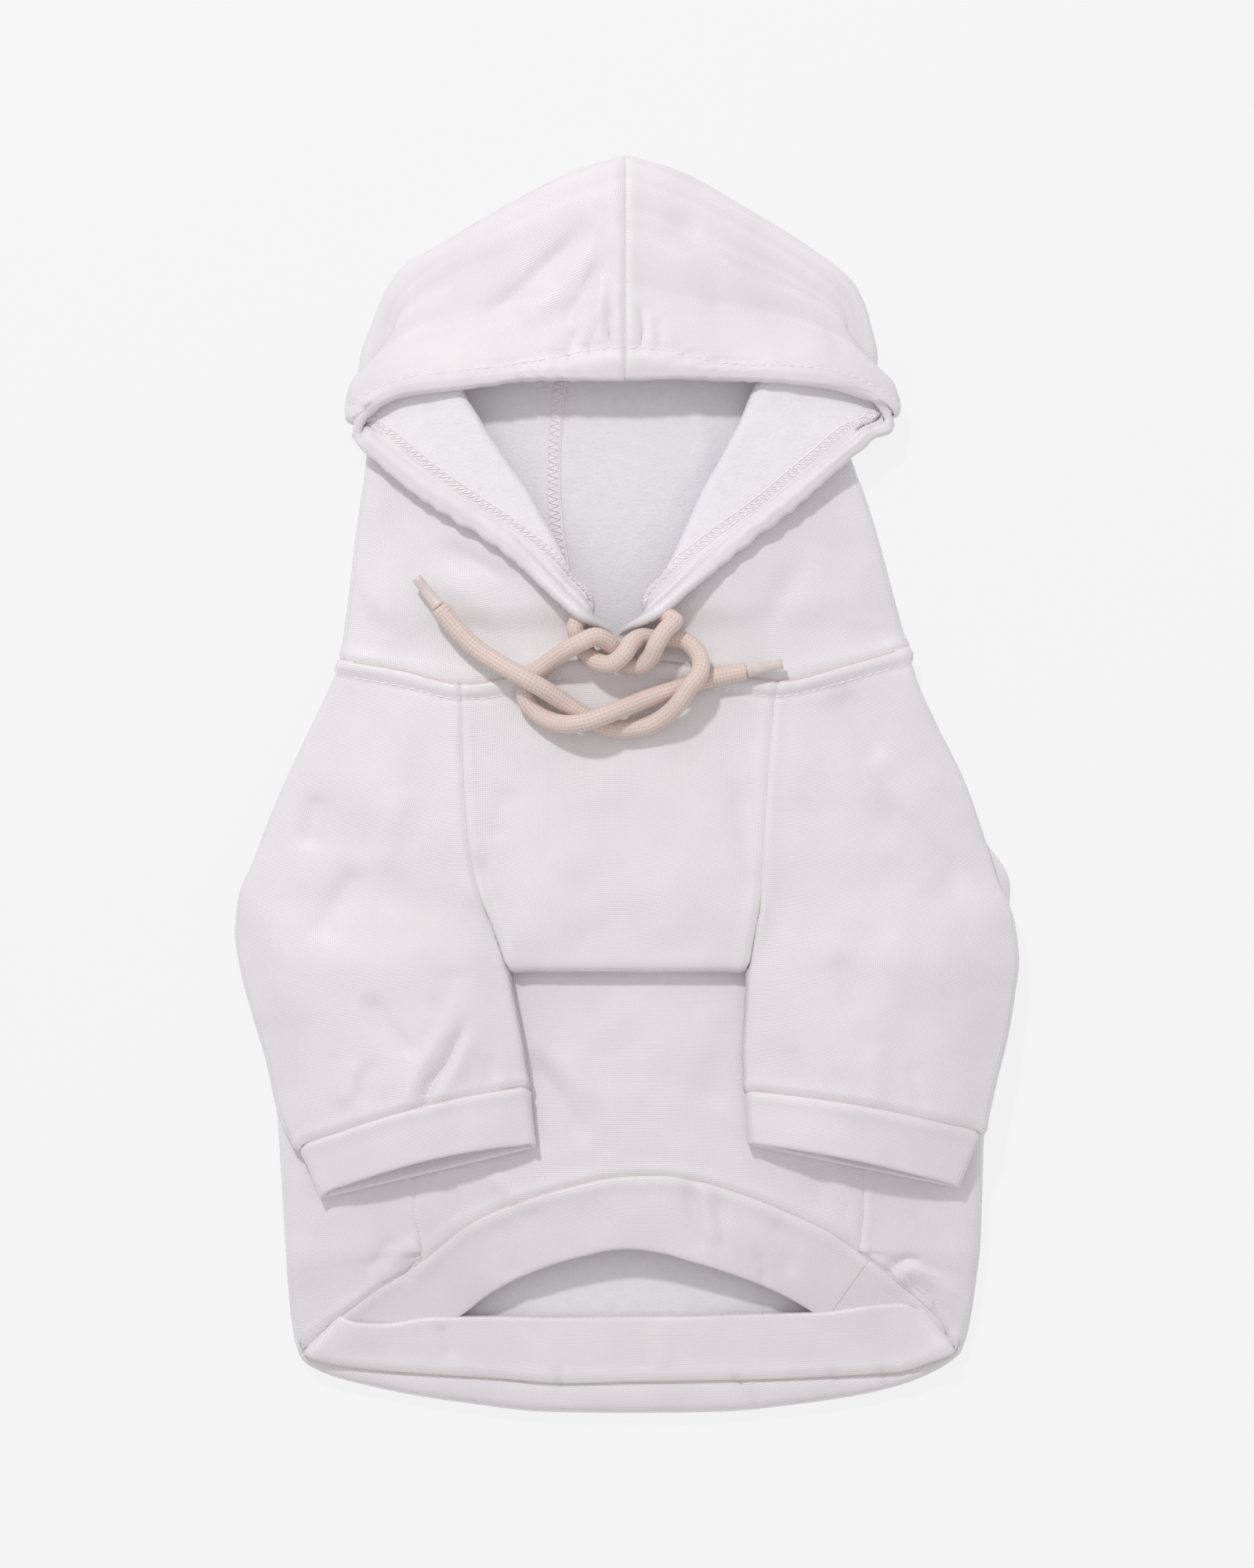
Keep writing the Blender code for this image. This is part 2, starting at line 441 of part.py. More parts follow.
def hood_half(name, ribs, side, look):
    """One half of the hood as a grid: a rib for each row, from the centre seam to the face edge."""
    grid = []
    walls = []
    gap = side * SEAM_GAP / 2
    r2 = LAPEL_FOLD / 2
    spread = CREASE_SPREAD * LAPEL_FOLD
    tip = hood_x(TIP_SEAM) + 2 * gap
    for n, (rib, heights) in enumerate(zip(ribs, HOOD_HEIGHTS)):
        back, side_x, side_up, fold_x, fold_up, casing_x, casing_up, edge_x, edge_up = rib
        width, lapel, turn, fold_z, casing_z, edge_z = heights
        b = np.array((hood_x(smooth(BACK_SEAM["up"], BACK_SEAM["x"], back)) + gap, up(back)))
        s = np.array((hood_x(side_x), up(side_up)))
        f = np.array((hood_x(fold_x), up(fold_up)))
        c = np.array((hood_x(casing_x), up(casing_up)))
        e = np.array((hood_x(edge_x), up(edge_up)))
        if n < TIP_RIBS:
            e[0] = max(e[0], tip) if side > 0 else min(e[0], tip)
        if n == len(ribs) - 1:
            b[0] += 2 * gap
            s[0] = f[0] = c[0] = e[0] = b[0]
        side_z = FLOOR + width * PLEAT
        fold_z *= CROWN_HEIGHT
        casing_z *= CROWN_HEIGHT
        edge_z *= CROWN_HEIGHT
        path = []
        # floor
        out = (s - b) / max(np.linalg.norm(s - b), 1e-6)
        r1 = (side_z - FLOOR) / 2
        s_in = s - out * r1
        for t in np.linspace(0, 1, 5):
            path.append((*(b + (s_in - b) * t), FLOOR))
        # side fold
        for a in FOLD_ANGLES:
            path.append((*(s_in + out * r1 * math.sin(a)), FLOOR + r1 * (1 - math.cos(a))))
        # front, up to the lapel's fold
        into = (f - s) / np.linalg.norm(f - s)
        f_in = f - into * r2 * lapel
        for t in np.linspace(0, 1, 5):
            rise = 1 - (1 - t)**FRONT_POWER
            path.append((*(s_in + (f_in - s_in) * t), side_z + (fold_z - side_z) * rise))
        # lapel's fold
        lapel_z = fold_z + 2 * r2 * lapel
        for a in FOLD_ANGLES:
            p = f_in + into * (r2 * math.sin(a) * lapel + spread * a / math.pi * (1 - lapel))
            path.append((*p, fold_z + (lapel_z - fold_z) * (1 - math.cos(a)) / 2))
        # lapel, out to the casing
        away = (c - f) / np.linalg.norm(c - f)
        c_in = c - away * r2 * turn
        start = f_in + away * spread * CREASE_STEP * (1 - lapel)
        for t in np.linspace(0, 1, 4):
            path.append((*(start + (c_in - start) * t), lapel_z + (casing_z - lapel_z) * t))
        # casing's turn
        turn_z = casing_z + 2 * r2 * turn
        onward = (e - c) / np.linalg.norm(e - c)
        for a in FOLD_ANGLES:
            p = c_in + away * r2 * math.sin(a) * turn + onward * spread * a / math.pi * (1 - turn)
            path.append((*p, casing_z + (turn_z - casing_z) * (1 - math.cos(a)) / 2))
        # on to the face edge
        start = c_in + onward * spread * CREASE_STEP * (1 - turn)
        for t in np.linspace(0, 1, 4):
            path.append((*(start + (e - start) * t), turn_z + (edge_z - turn_z) * t))
        path = np.array(path)
        if n == 0:
            # the neck seam's own curve and height, on the front
            for k in range(8, len(path)):
                x = path[k][0]
                path[k][1] = neck_seam_y(x) + NECK_GAP
                path[k][2] = chest_z(x, 0.0)
            corner_y = max(path[8][1], NECK_Y + SEAM_GAP) + SEAM_GAP
            path[:5, 1] = NECK_Y + SEAM_GAP
            path[5:9, 1] = corner_y
        grid.append(path)
        thick = np.full(len(path), WALL)
        if n >= TIP_RIBS:
            thick[-len(CASING_PROFILE):] += (CASING_WALL - WALL) * np.array(CASING_PROFILE)
        walls.append(thick)
    return shell(name, grid, np.array(walls), look)


def back_panel(look):
    """The back: flat on the floor, wrapped up round both sides, and rolled up along the hem."""
    steps = 7          # rows from the last level one to the hem
    turned = 9         # points of a row on each side that aren't on the floor: curl 2, front 4, side fold 3

    def wrap(side, share):
        """From the wrap's end out to the side fold, and down round it: points (x, z)."""
        edge = body_x(smooth(BODY["down"], BODY["left" if side < 0 else "right"], share))
        end = body_x(smooth(BODY["down"], BODY["wrap_left" if side < 0 else "wrap_right"], share))
        curl = smooth(BODY["down"], BODY["curl"], share)
        radius = side_fold(share)
        corner = edge - side * radius
        end -= side * SEAM_GAP / 2 * (1 - curl)
        r = PLEAT / 2
        points = []
        for a in (0.0, 45.0):
            rad = math.radians(90 - a)
            x = end + side * r * curl - side * r * curl * math.sin(rad)
            x += side * r * (a / 60) * (1 - curl)
            lift = (r * (1 - math.cos(rad)) - PLEAT_GAP / 2 * math.sin(rad)) * curl
            points.append((x, belly_z(x, share) + lift))
        start = end + side * r * (curl + 1.5 * (1 - curl))
        for t in (0.0, 0.33, 0.67, 1.0):
            x = start + (corner - start) * t
            z = belly_z(x, share) if t < 1 else FLOOR + 2 * radius
            points.append((x, z))
        for a in FOLD_ANGLES:
            points.append((corner + side * radius * math.sin(a), FLOOR + radius * (1 + math.cos(a))))
        return points, corner

    grid = []
    for share in BODY["down"]:
        left, corner_left = wrap(-1, share)
        right, corner_right = wrap(1, share)
        flat = [(x, FLOOR) for x in np.linspace(corner_left, corner_right, 9)]
        line = left + flat + right[::-1]
        y = down(share) - (SEAM_GAP if share == 0 else 0)
        grid.append([(x, y, z) for x, z in line])
    last = np.array(grid[-1])
    count = len(last)
    hem = [[None] * count for _ in range(steps)]
    r = HEM_ROLL
    for j in range(count):
        x, y, z = last[j]
        share_x = x / (BODY_WIDTH / 2)
        on_floor = turned <= j < count - turned
        if on_floor:
            share_x = max(min(share_x, 0.955), -0.935)
            bottom = down(smooth(HEM_ROLL_LINE["x"], HEM_ROLL_LINE["down"], share_x)) + WALL / 2
            seam = down(smooth(HEM_SEAM["x"], HEM_SEAM["down"], share_x)) - SEAM_GAP
            straight = [(body_x(share_x) * t + x * (1 - t), y + (bottom + r - y) * t, FLOOR) for t in (0.4, 0.8, 1.0)]
            rolled = []
            for a in (50, 95, 140):
                rad = math.radians(a)
                rolled.append((body_x(share_x), bottom + r - r * math.sin(rad), FLOOR + r * (1 - math.cos(rad))))
            line = straight + rolled + [(body_x(share_x), max(seam, bottom + r), FLOOR + 2 * r)]
        elif j < 6 or j >= count - 6:
            side = -1 if x < 0 else 1
            share_x = min(abs(share_x), 0.955 if side > 0 else 0.940) * side
            end = smooth(HEM_ARC["x"], HEM_ARC["down"], share_x)
            line = []
            for t in np.linspace(1 / steps, 1, steps):
                x_t = x + (body_x(share_x) - x) * t
                share = down_share(y) + (end - down_share(y)) * t
                z_t = z + (belly_z(x_t, share) - z) * min(3 * t, 1.0)
                line.append((x_t, down(share) + SEAM_GAP * t, z_t))
        else:
            continue
        for m in range(steps):
            hem[m][j] = line[m]
    for m in range(steps):
        for side, floor_at, top_at, order in ((-1, turned, 5, (8, 7, 6)), (1, count - turned - 1, count - 6,
                                                                        (count - 9, count - 8, count - 7))):
            low = np.array(hem[m][floor_at])
            high = np.array(hem[m][top_at])
            for k, j in enumerate(order):
                rad = math.radians(45 * (k + 1))
                p = low + (high - low) * (1 - math.cos(rad)) / 2
                p[0] += side * max(abs(high[2] - low[2]) / 2, 0.0012) * math.sin(rad)
                hem[m][j] = tuple(p)
        grid.append(hem[m])
    return shell("back_panel", grid, WALL, look)


def belly_panel(look):
    """Chest and belly in one: down from the neck, under at the chest's fold, and down again to the hem's arc."""
    columns = np.linspace(-1, 1, 11)
    rows = []

    def row(left, right, share_at, z_at):
        line = []
        for c in columns:
            x = left + (right - left) * (c + 1) / 2
            share = share_at(x)
            line.append((x, down(share), z_at(x, share)))
        rows.append(line)

    def raglan(side, share):
        sleeve_rows = SLEEVE_LEFT if side < 0 else SLEEVE_RIGHT
        return body_x(smooth(sleeve_rows["inner_down"], sleeve_rows["inner"], share)) - side * SEAM_GAP

    def tuck_z(x, share):
        return 0.5 * (belly_z(x, share) + chest_z(x, min(share, CHEST_FOLD_DOWN)))

    row(raglan(-1, 0.03), raglan(1, 0.03), lambda x: down_share(neck_seam_y(x) - SEAM_GAP), chest_z)
    for share in CHEST_DOWN:
        row(raglan(-1, share), raglan(1, share), lambda x, s=share: s, chest_z)
    l, r = raglan(-1, CHEST_DOWN[-1]) + FOLD_INSET, raglan(1, CHEST_DOWN[-1]) - FOLD_INSET
    for a in (50, 90, 130):
        rad = math.radians(a)
        reach = (CHEST_FOLD_DOWN - CHEST_DOWN[-1]) * math.sin(rad)
        mix = (1 - math.cos(rad)) / 2
        row(l, r, lambda x, s=CHEST_DOWN[-1] + reach: s,
            lambda x, s, m=mix: chest_z(x, s) * (1 - m) + tuck_z(x, s) * m)
    for share, l, r in zip(TUCK["down"], TUCK["left"], TUCK["right"]):
        row(body_x(l), body_x(r), lambda x, s=share: s, tuck_z)
    l, r = body_x(TUCK["left"][-1]), body_x(TUCK["right"][-1])
    for a in (50, 90, 130):
        rad = math.radians(a)
        reach = (TUCK["down"][-1] - TUCK_FOLD_DOWN) * math.sin(rad)
        mix = (1 - math.cos(rad)) / 2
        row(l, r, lambda x, s=TUCK["down"][-1] - reach: s,
            lambda x, s, m=mix: tuck_z(x, s) * (1 - m) + belly_z(x, s) * m)
    row(body_x(TUCK["left"][-1]), body_x(TUCK["right"][-1]), lambda x: TUCK["down"][-1], belly_z)
    for share in [share for share in BODY["down"] if UNDERARM <= share <= BELLY_LEVEL]:
        l = body_x(smooth(BODY["down"], BODY["wrap_left"], share)) + BELLY_GAP
        r = body_x(smooth(BODY["down"], BODY["wrap_right"], share)) - BELLY_GAP
        if share == UNDERARM:
            l = max(l, body_x(TUCK["left"][0]) - UNDERARM_TAPER)
            r = min(r, body_x(TUCK["right"][0]) + UNDERARM_TAPER)
        row(l, r, lambda x, s=share: s, belly_z)
    below = [share for share in BODY["down"] if share > BELLY_LEVEL]
    for share in [*below, BELLY_SIDE_END]:
        t = (share - BELLY_LEVEL) / (BELLY_SIDE_END - BELLY_LEVEL)
        l = body_x(smooth(BODY["down"], BODY["wrap_left"], share)) + BELLY_GAP
        r = body_x(smooth(BODY["down"], BODY["wrap_right"], share)) - BELLY_GAP
        row(l, r, lambda x, t=t: BELLY_LEVEL + (hem_arc_down(x) - BELLY_LEVEL) * t, belly_z)
    return shell("belly_panel", rows, WALL, look)


def sleeve_section(rows, side, n):
    """One rung of a sleeve: its outer and inner edge in plan, and the way between them."""
    neck = hood_x(NECK_SEAM["x"][0 if side < 0 else -1])
    outer = np.array((neck + rows["flare"][n] * (side * SLEEVE_SPAN / 2 - neck), down(rows["outer_down"][n])))
    outer[0] -= side * WALL / 2
    inner = np.array((body_x(rows["inner"][n]), down(rows["inner_down"][n])))
    if n == 0:
        outer[1] = neck_seam_y(outer[0]) - SEAM_GAP
        inner[1] = neck_seam_y(inner[0]) - SEAM_GAP
    return outer, inner


def raglan_end(outer, inner, side, closed):
    """How far across, from the outer edge, a sleeve's lower layer reaches the end of the body's wrap."""
    if closed == 1:
        return 1.0
    key = "wrap_left" if side < 0 else "wrap_right"
    across = 0.5
    for _ in range(20):
        y = outer[1] + (inner[1] - outer[1]) * across
        x = body_x(smooth(BODY["down"], BODY[key], down_share(y)))
        across = (x - outer[0]) / (inner[0] - outer[0])
    return across


def sleeve_heights(p, closed, across):
    """The lower and upper layer of a sleeve at a plan point; across is 0 on the inner edge and 1 on the outer."""
    share = down_share(p[1])
    low = belly_z(p[0], share) + PLEAT
    puff = SLEEVE_EDGE + (SLEEVE_PUFF - SLEEVE_EDGE) * (1 - abs(2 * across - 1)**SLEEVE_POWER)
    free = low + puff
    joined = max(chest_z(p[0], share), low + PLEAT * 0.8)
    return low, joined + (free - joined) * closed


def sleeve(name, rows, side, look):
    """A raglan sleeve: open towards the body above the underarm, a flattened tube below it."""
    grid = []
    for n in range(len(rows["flare"])):
        outer, inner = sleeve_section(rows, side, n)
        closed = rows["closed"][n]
        seam = raglan_end(outer, inner, side, closed)
        out = (outer - inner) / np.linalg.norm(outer - inner)
        gap = SEAM_GAP / 2
        low_in, top_in = sleeve_heights(inner, closed, 0.0)
        low_out, top_out = sleeve_heights(outer, closed, 1.0)
        r_in = (top_in - low_in) / 2
        r_out = (top_out - low_out) / 2
        line = []
        # the start: flat against the chest panel, or the upper half of the inner fold
        begin = inner + out * gap
        for a in (0, 45):
            rad = math.radians(a)
            folded = inner + out * (r_in * (1 - math.sin(rad)))
            flat = begin + out * SLEEVE_START * (a / 45)
            p = flat * (1 - closed) + folded * closed
            z_fold = low_in + r_in + gap + (r_in - gap) * math.sin(rad)
            z_flat = sleeve_heights(p, 0.0, 0.0)[1]
            line.append((*p, z_flat * (1 - closed) + z_fold * closed))
        first = begin + out * (2 * SLEEVE_START * (1 - closed) + r_in * closed)
        far = outer - out * r_out
        for t in np.linspace(0, 1, 7):
            p = first + (far - first) * t
            if n == 0:
                p = np.array((p[0], neck_seam_y(p[0]) - SEAM_GAP))
            z = sleeve_heights(p, closed, t)[1]
            if t == 1:
                z = top_out
            elif t == 0 and closed == 1:
                z = top_in
            line.append((*p, z))
        for a in FOLD_ANGLES:
            line.append((*(far + out * r_out * math.sin(a)), low_out + r_out * (1 + math.cos(a))))
        # the lower layer, back towards the body
        turn = PLEAT / 2 * (1 - closed) + r_in * closed
        stop = outer + (inner - outer) * seam + out * turn
        for t in np.linspace(0, 1, 5):
            p = far + (stop - far) * t
            line.append((*p, sleeve_heights(p, closed, 1 - t * seam)[0] if t > 0 else low_out))
        low_end = line[-1][2]
        sign = 2 * closed - 1
        for a in (45, 90):
            rad = math.radians(a)
            seam_gap = gap * closed + PLEAT_GAP / 2 * (1 - closed)
            rise = (turn * (1 - math.cos(rad)) - seam_gap * math.sin(rad)) * sign
            line.append((*(stop - out * turn * math.sin(rad)), low_end + rise))
        grid.append(line)
    return shell(name, grid, WALL, look)


def cuff(name, rows, side, look):
    """A doubled band on the sleeve's end, a flattened closed ring."""
    key = "left" if side < 0 else "right"
    outer, inner = sleeve_section(rows, side, len(rows["flare"]) - 1)
    out = (outer - inner) / np.linalg.norm(outer - inner)
    along = np.array((out[1], -out[0])) * (1 if out[0] > 0 else -1)
    outer = outer - out * CUFF_INSET[0] + along * CUFF_GAP
    inner = inner + out * CUFF_INSET[1] + along * CUFF_GAP
    grid = []
    for t in (0.0, 0.12, 0.5, 1.0):
        o = outer + np.array((CUFF_DRIFT[key][0] * CUFF_DEPTH, -CUFF_DROP[key][0] * CUFF_DEPTH)) * t
        i = inner + np.array((CUFF_DRIFT[key][1] * CUFF_DEPTH, -CUFF_DROP[key][1] * CUFF_DEPTH)) * t
        low_in, top_in = sleeve_heights(i, 1.0, 0.0)
        low_out, top_out = sleeve_heights(o, 1.0, 1.0)
        lift = (CUFF_WALL - WALL) / 2
        line = []
        way = o - i
        length = np.linalg.norm(way)
        way = way / length
        r_in = (top_in - low_in) / 2
        r_out = (top_out - low_out) / 2
        for s in np.linspace(0, 1, 8):
            p = i + way * (r_in + (length - r_in - r_out) * s)
            line.append((*p, sleeve_heights(p, 1.0, s)[1] - lift))
        for a in (60, 120):
            rad = math.radians(a)
            line.append((*(o - way * r_out * (1 - math.sin(rad))), low_out + r_out * (1 + math.cos(rad))))
        for s in np.linspace(1, 0, 8):
            p = i + way * (r_in + (length - r_in - r_out) * s)
            line.append((*p, sleeve_heights(p, 1.0, s)[0] + lift))
        for a in (60, 120):
            rad = math.radians(a)
            line.append((*(i + way * r_in * (1 - math.sin(rad))), low_in + r_in * (1 - math.cos(rad))))
        grid.append(line)
    return shell(name, grid, CUFF_WALL, look, ring=True)


def hem_band(look):
    """The doubled hem band: one strip round the mouth, its back flipped up over the inside of the back."""
    stations = []

    def corner(spec, order):
        seam_x, free_x, free_down = spec
        seam_down = smooth(HEM_SEAM["x"], HEM_SEAM["down"], seam_x) - BAND_CORNER_LIFT
        s = np.array((body_x(seam_x), down(seam_down)))
        f = np.array((body_x(free_x), down(free_down)))
        along = (f - s) / np.linalg.norm(f - s)
        inward = np.array((along[1], -along[0]))
        if inward[0] * s[0] > 0:
            inward = -inward
        r = BAND_CORNER_RADIUS * BAND_WALL
        zs, zf = (h * BELLY_HEIGHT for h in BAND_CORNER_HEIGHT)
        for a in order:
            rad = math.radians(a)
            shift = inward * r * (1 - math.sin(rad))
            lift = -r * math.cos(rad)
            stations.append(((*(s + shift), zs + lift), (*(f + shift), zf + lift)))

    def strip(rows, line, gap):
        for seam_x, free_x, free_down, seam_z, free_z in rows:
            y = down(smooth(line["x"], line["down"], seam_x)) + gap
            s = (body_x(seam_x), y, seam_z * BELLY_HEIGHT)
            f = (body_x(free_x), down(free_down), free_z * BELLY_HEIGHT)
            stations.append((s, f))

    strip(BAND_FRONT, HEM_ARC, -SEAM_GAP)
    corner(BAND_CORNER_RIGHT, (0, 45, 90, 135, 180))
    strip(BAND_BACK, HEM_SEAM, SEAM_GAP + BAND_SEAT)
    corner(BAND_CORNER_LEFT, (180, 135, 90, 45, 0))
    grid = []
    for t in (0.0, 0.33, 0.67, 1.0):
        line = []
        for s, f in stations:
            s, f = np.array(s), np.array(f)
            p = s + (f - s) * t
            line.append(tuple(p))
        grid.append(line)
    return shell("hem_band", grid, BAND_WALL, look, ring=True)


def cord_route(table):
    """Points along a smooth curve through a cord's table, evenly spaced."""
    knots = np.array([(hood_x(x), NECK_Y + hood_x(y), z * CORD_DIAMETER) for x, y, z in table])
    run = np.concatenate(([0.0], np.cumsum(np.linalg.norm(np.diff(knots, axis=0), axis=1))))
    count = round(run[-1] / CORD_POINT_STEP) + 1
    at = np.linspace(0, run[-1], count)
    return np.stack([smooth(run, knots[:, axis], at) for axis in range(3)], axis=1)


def drawstring(name, route, look):
    """One free end of the drawstring, a round tube."""
    data = bpy.data.curves.new(name, "CURVE")
    data.dimensions = "3D"
    data.bevel_depth = CORD_DIAMETER / 2
    data.bevel_resolution = CORD_SIDES
    data.use_fill_caps = True
    line = data.splines.new("POLY")
    line.points.add(len(route) - 1)
    for point, place in zip(line.points, route):
        point.co = (*place, 1.0)
    data.materials.append(look)
    made = bpy.data.objects.new(name, data)
    bpy.context.collection.objects.link(made)
    return made


def aglet(name, route, look):
    """The tip on a cord's end, in line with the cord's last stretch."""
    way = route[-1] - route[-2]
    way /= np.linalg.norm(way)
    side = np.cross(way, (0.0, 0.0, 1.0))
    side /= np.linalg.norm(side)
    over = np.cross(side, way)
    start = route[-1] + way * AGLET_GAP
    bevel = AGLET_TIP / 8
    stations = ((0.0, AGLET_DIAMETER / 2), (AGLET_LENGTH - bevel, AGLET_TIP / 2), (AGLET_LENGTH, AGLET_TIP / 2 - bevel))
    mesh = bmesh.new()
    rings = []
    for far, radius in stations:
        ring = []
        for k in range(AGLET_SIDES):
            a = 2 * math.pi * k / AGLET_SIDES
            ring.append(mesh.verts.new(start + way * far + (side * math.cos(a) + over * math.sin(a)) * radius))
        rings.append(ring)
    for low, high in zip(rings, rings[1:]):
        for k in range(AGLET_SIDES):
            j = (k + 1) % AGLET_SIDES
            mesh.faces.new((low[k], low[j], high[j], high[k]))
    mesh.faces.new(rings[0])
    mesh.faces.new(rings[-1])
    bmesh.ops.recalc_face_normals(mesh, faces=mesh.faces)
    data = bpy.data.meshes.new(name)
    mesh.to_mesh(data)
    mesh.free()
    data.materials.append(look)
    made = bpy.data.objects.new(name, data)
    bpy.context.collection.objects.link(made)
    return made


def main():
    clear_scene()
    knit = material("pale_knit", KNIT_COLOUR, 0.6)
    braid = material("beige_braid", CORD_COLOUR, 0.7)
    plastic = material("beige_plastic", AGLET_COLOUR, 0.25)
    hood_half("hood_left", HOOD_LEFT, -1, knit)
    hood_half("hood_right", HOOD_RIGHT, 1, knit)
    back_panel(knit)
    belly_panel(knit)
    sleeve("sleeve_left", SLEEVE_LEFT, -1, knit)
    sleeve("sleeve_right", SLEEVE_RIGHT, 1, knit)
    cuff("cuff_left", SLEEVE_LEFT, -1, knit)
    cuff("cuff_right", SLEEVE_RIGHT, 1, knit)
    hem_band(knit)
    for side, table in (("left", CORD_LEFT), ("right", CORD_RIGHT)):
        route = cord_route(table)
        drawstring(f"drawstring_{side}", route, braid)
        aglet(f"aglet_{side}", route, plastic)


main()
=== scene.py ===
"""The dog hoodie as it looks: knit with a brushed inside, sewn seams, braided drawstring, in a pale studio.

Metres, +Z up. The cloth is drawn on the same grids as the solid part, with finer points, rounded edges,
soft folds, seams and stitches.
"""
import json
import math

import bpy
import bmesh
import numpy as np
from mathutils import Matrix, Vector

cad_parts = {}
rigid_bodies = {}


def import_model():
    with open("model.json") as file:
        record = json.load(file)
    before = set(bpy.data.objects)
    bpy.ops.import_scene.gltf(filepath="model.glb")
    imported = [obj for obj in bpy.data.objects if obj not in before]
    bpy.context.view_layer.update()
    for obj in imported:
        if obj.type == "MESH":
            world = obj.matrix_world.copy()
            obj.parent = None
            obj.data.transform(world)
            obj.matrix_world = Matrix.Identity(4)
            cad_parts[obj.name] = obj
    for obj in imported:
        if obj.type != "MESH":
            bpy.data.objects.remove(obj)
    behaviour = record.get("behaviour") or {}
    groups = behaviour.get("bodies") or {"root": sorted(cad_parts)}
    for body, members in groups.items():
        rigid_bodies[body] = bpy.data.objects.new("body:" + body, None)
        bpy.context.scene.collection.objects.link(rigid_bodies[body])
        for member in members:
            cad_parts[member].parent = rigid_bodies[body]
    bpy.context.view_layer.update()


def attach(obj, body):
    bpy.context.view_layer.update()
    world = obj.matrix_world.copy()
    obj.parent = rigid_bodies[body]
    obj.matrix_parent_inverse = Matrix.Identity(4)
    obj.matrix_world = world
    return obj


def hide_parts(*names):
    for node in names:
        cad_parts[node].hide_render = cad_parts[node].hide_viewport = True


# Driving sizes
HOOD_WIDTH = 0.17575       # across the hood at its corners, and the scale of the neck seam
HOOD_LENGTH = 0.1615       # neck seam to crown
BODY_WIDTH = 0.2175        # across the flat body at the hips
BODY_LENGTH = 0.240        # neck seam to the rolled hem
SLEEVE_SPAN = 0.249        # across both sleeves where they are widest
CUFF_DEPTH = 0.018         # cuff seam to cuff mouth
WALL = 0.0016              # one layer of the knit
CASING_WALL = 0.0042       # the turned-in face edge of the hood, with its cord channel
BAND_WALL = 0.0026         # the doubled hem band
CUFF_WALL = 0.0022         # the doubled cuff
SEAM_GAP = 0.0003          # clearance where two pieces meet
NECK_GAP = 0.0006          # the same along the curved front of the neck seam
PLEAT_GAP = 0.0009         # clearance along the raglan seam inside that pleat
PLEAT = 0.0026             # spacing of two layers where cloth folds back on itself
LAPEL_FOLD = 0.0030        # spacing of the layers at the lapel's fold
NECK_HEIGHT = 0.0130       # middle of the cloth at the front of the neck seam
CHEST_HEIGHT = 0.0180      # middle of the cloth on the chest, above its fold
BELLY_HEIGHT = 0.0130      # middle of the cloth on the belly
CROWN_HEIGHT = 0.0150      # middle of the cloth at the forehead edge
SLEEVE_PUFF = 0.0085       # between the two layers of a sleeve, at its middle
SLEEVE_EDGE = 0.0034       # between the two layers of a sleeve, at its folded edges
SIDE_FOLD = 0.0042         # radius of the body's side folds at the hips
HEM_ROLL = 0.0019          # radius of the roll along the back hem
CORD_DIAMETER = 0.0060     # drawstring
AGLET_LENGTH = 0.0115
AGLET_DIAMETER = 0.0044    # at the cord; the tip is narrower

NECK_Y = (BODY_LENGTH - HOOD_LENGTH) / 2
FLOOR = WALL / 2

# The neck seam on the chest side, from left to right: x in half hood widths, down in body lengths
NECK_SEAM = {
    "x": (-1.037, -0.804, -0.605, -0.471, -0.229, -0.030, 0.192, 0.368, 0.542, 0.795, 1.020),
    "down": (0.000, 0.015, 0.032, 0.028, 0.005, 0.000, 0.007, 0.020, 0.029, 0.007, -0.017),
}

# The body's flat outline under the sleeves, and how far its back wraps over to the front.
# down in body lengths, the rest in half body widths; fold is the side fold's radius in SIDE_FOLDs;
# rise is the belly's middle in BELLY_HEIGHTs; curl is how far the wrap's end turns up into the raglan pleat
BODY = {
    "down": (0.000, 0.059, 0.143, 0.226, 0.299, 0.361, 0.414, 0.476, 0.559, 0.622, 0.726, 0.778),
    "left": (-0.829, -0.875, -0.955, -1.024, -1.070, -1.070, -1.059, -1.045, -1.026, -1.013, -0.999, -0.992),
    "right": (0.820, 0.868, 0.953, 1.022, 1.114, 1.109, 1.084, 1.070, 1.052, 1.038, 1.031, 1.026),
    "wrap_left": (-0.780, -0.800, -0.830, -0.760, -0.553, -0.426, -0.461, -0.553, -0.610, -0.629, -0.620,
                  -0.603),
    "wrap_right": (0.770, 0.800, 0.835, 0.746, 0.574, 0.424, 0.459, 0.562, 0.654, 0.691, 0.691, 0.682),
    "fold": (0.24, 0.26, 0.36, 0.46, 0.55, 0.62, 0.68, 0.76, 0.88, 0.96, 1.00, 1.00),
    "rise": (0.55, 0.57, 0.62, 0.70, 0.77, 0.84, 0.88, 0.92, 0.96, 1.00, 1.00, 0.96),
    "curl": (1.0, 1.0, 1.0, 1.0, 1.0, 0.7, 0.0, 0.0, 0.0, 0.0, 0.0, 0.0),
}

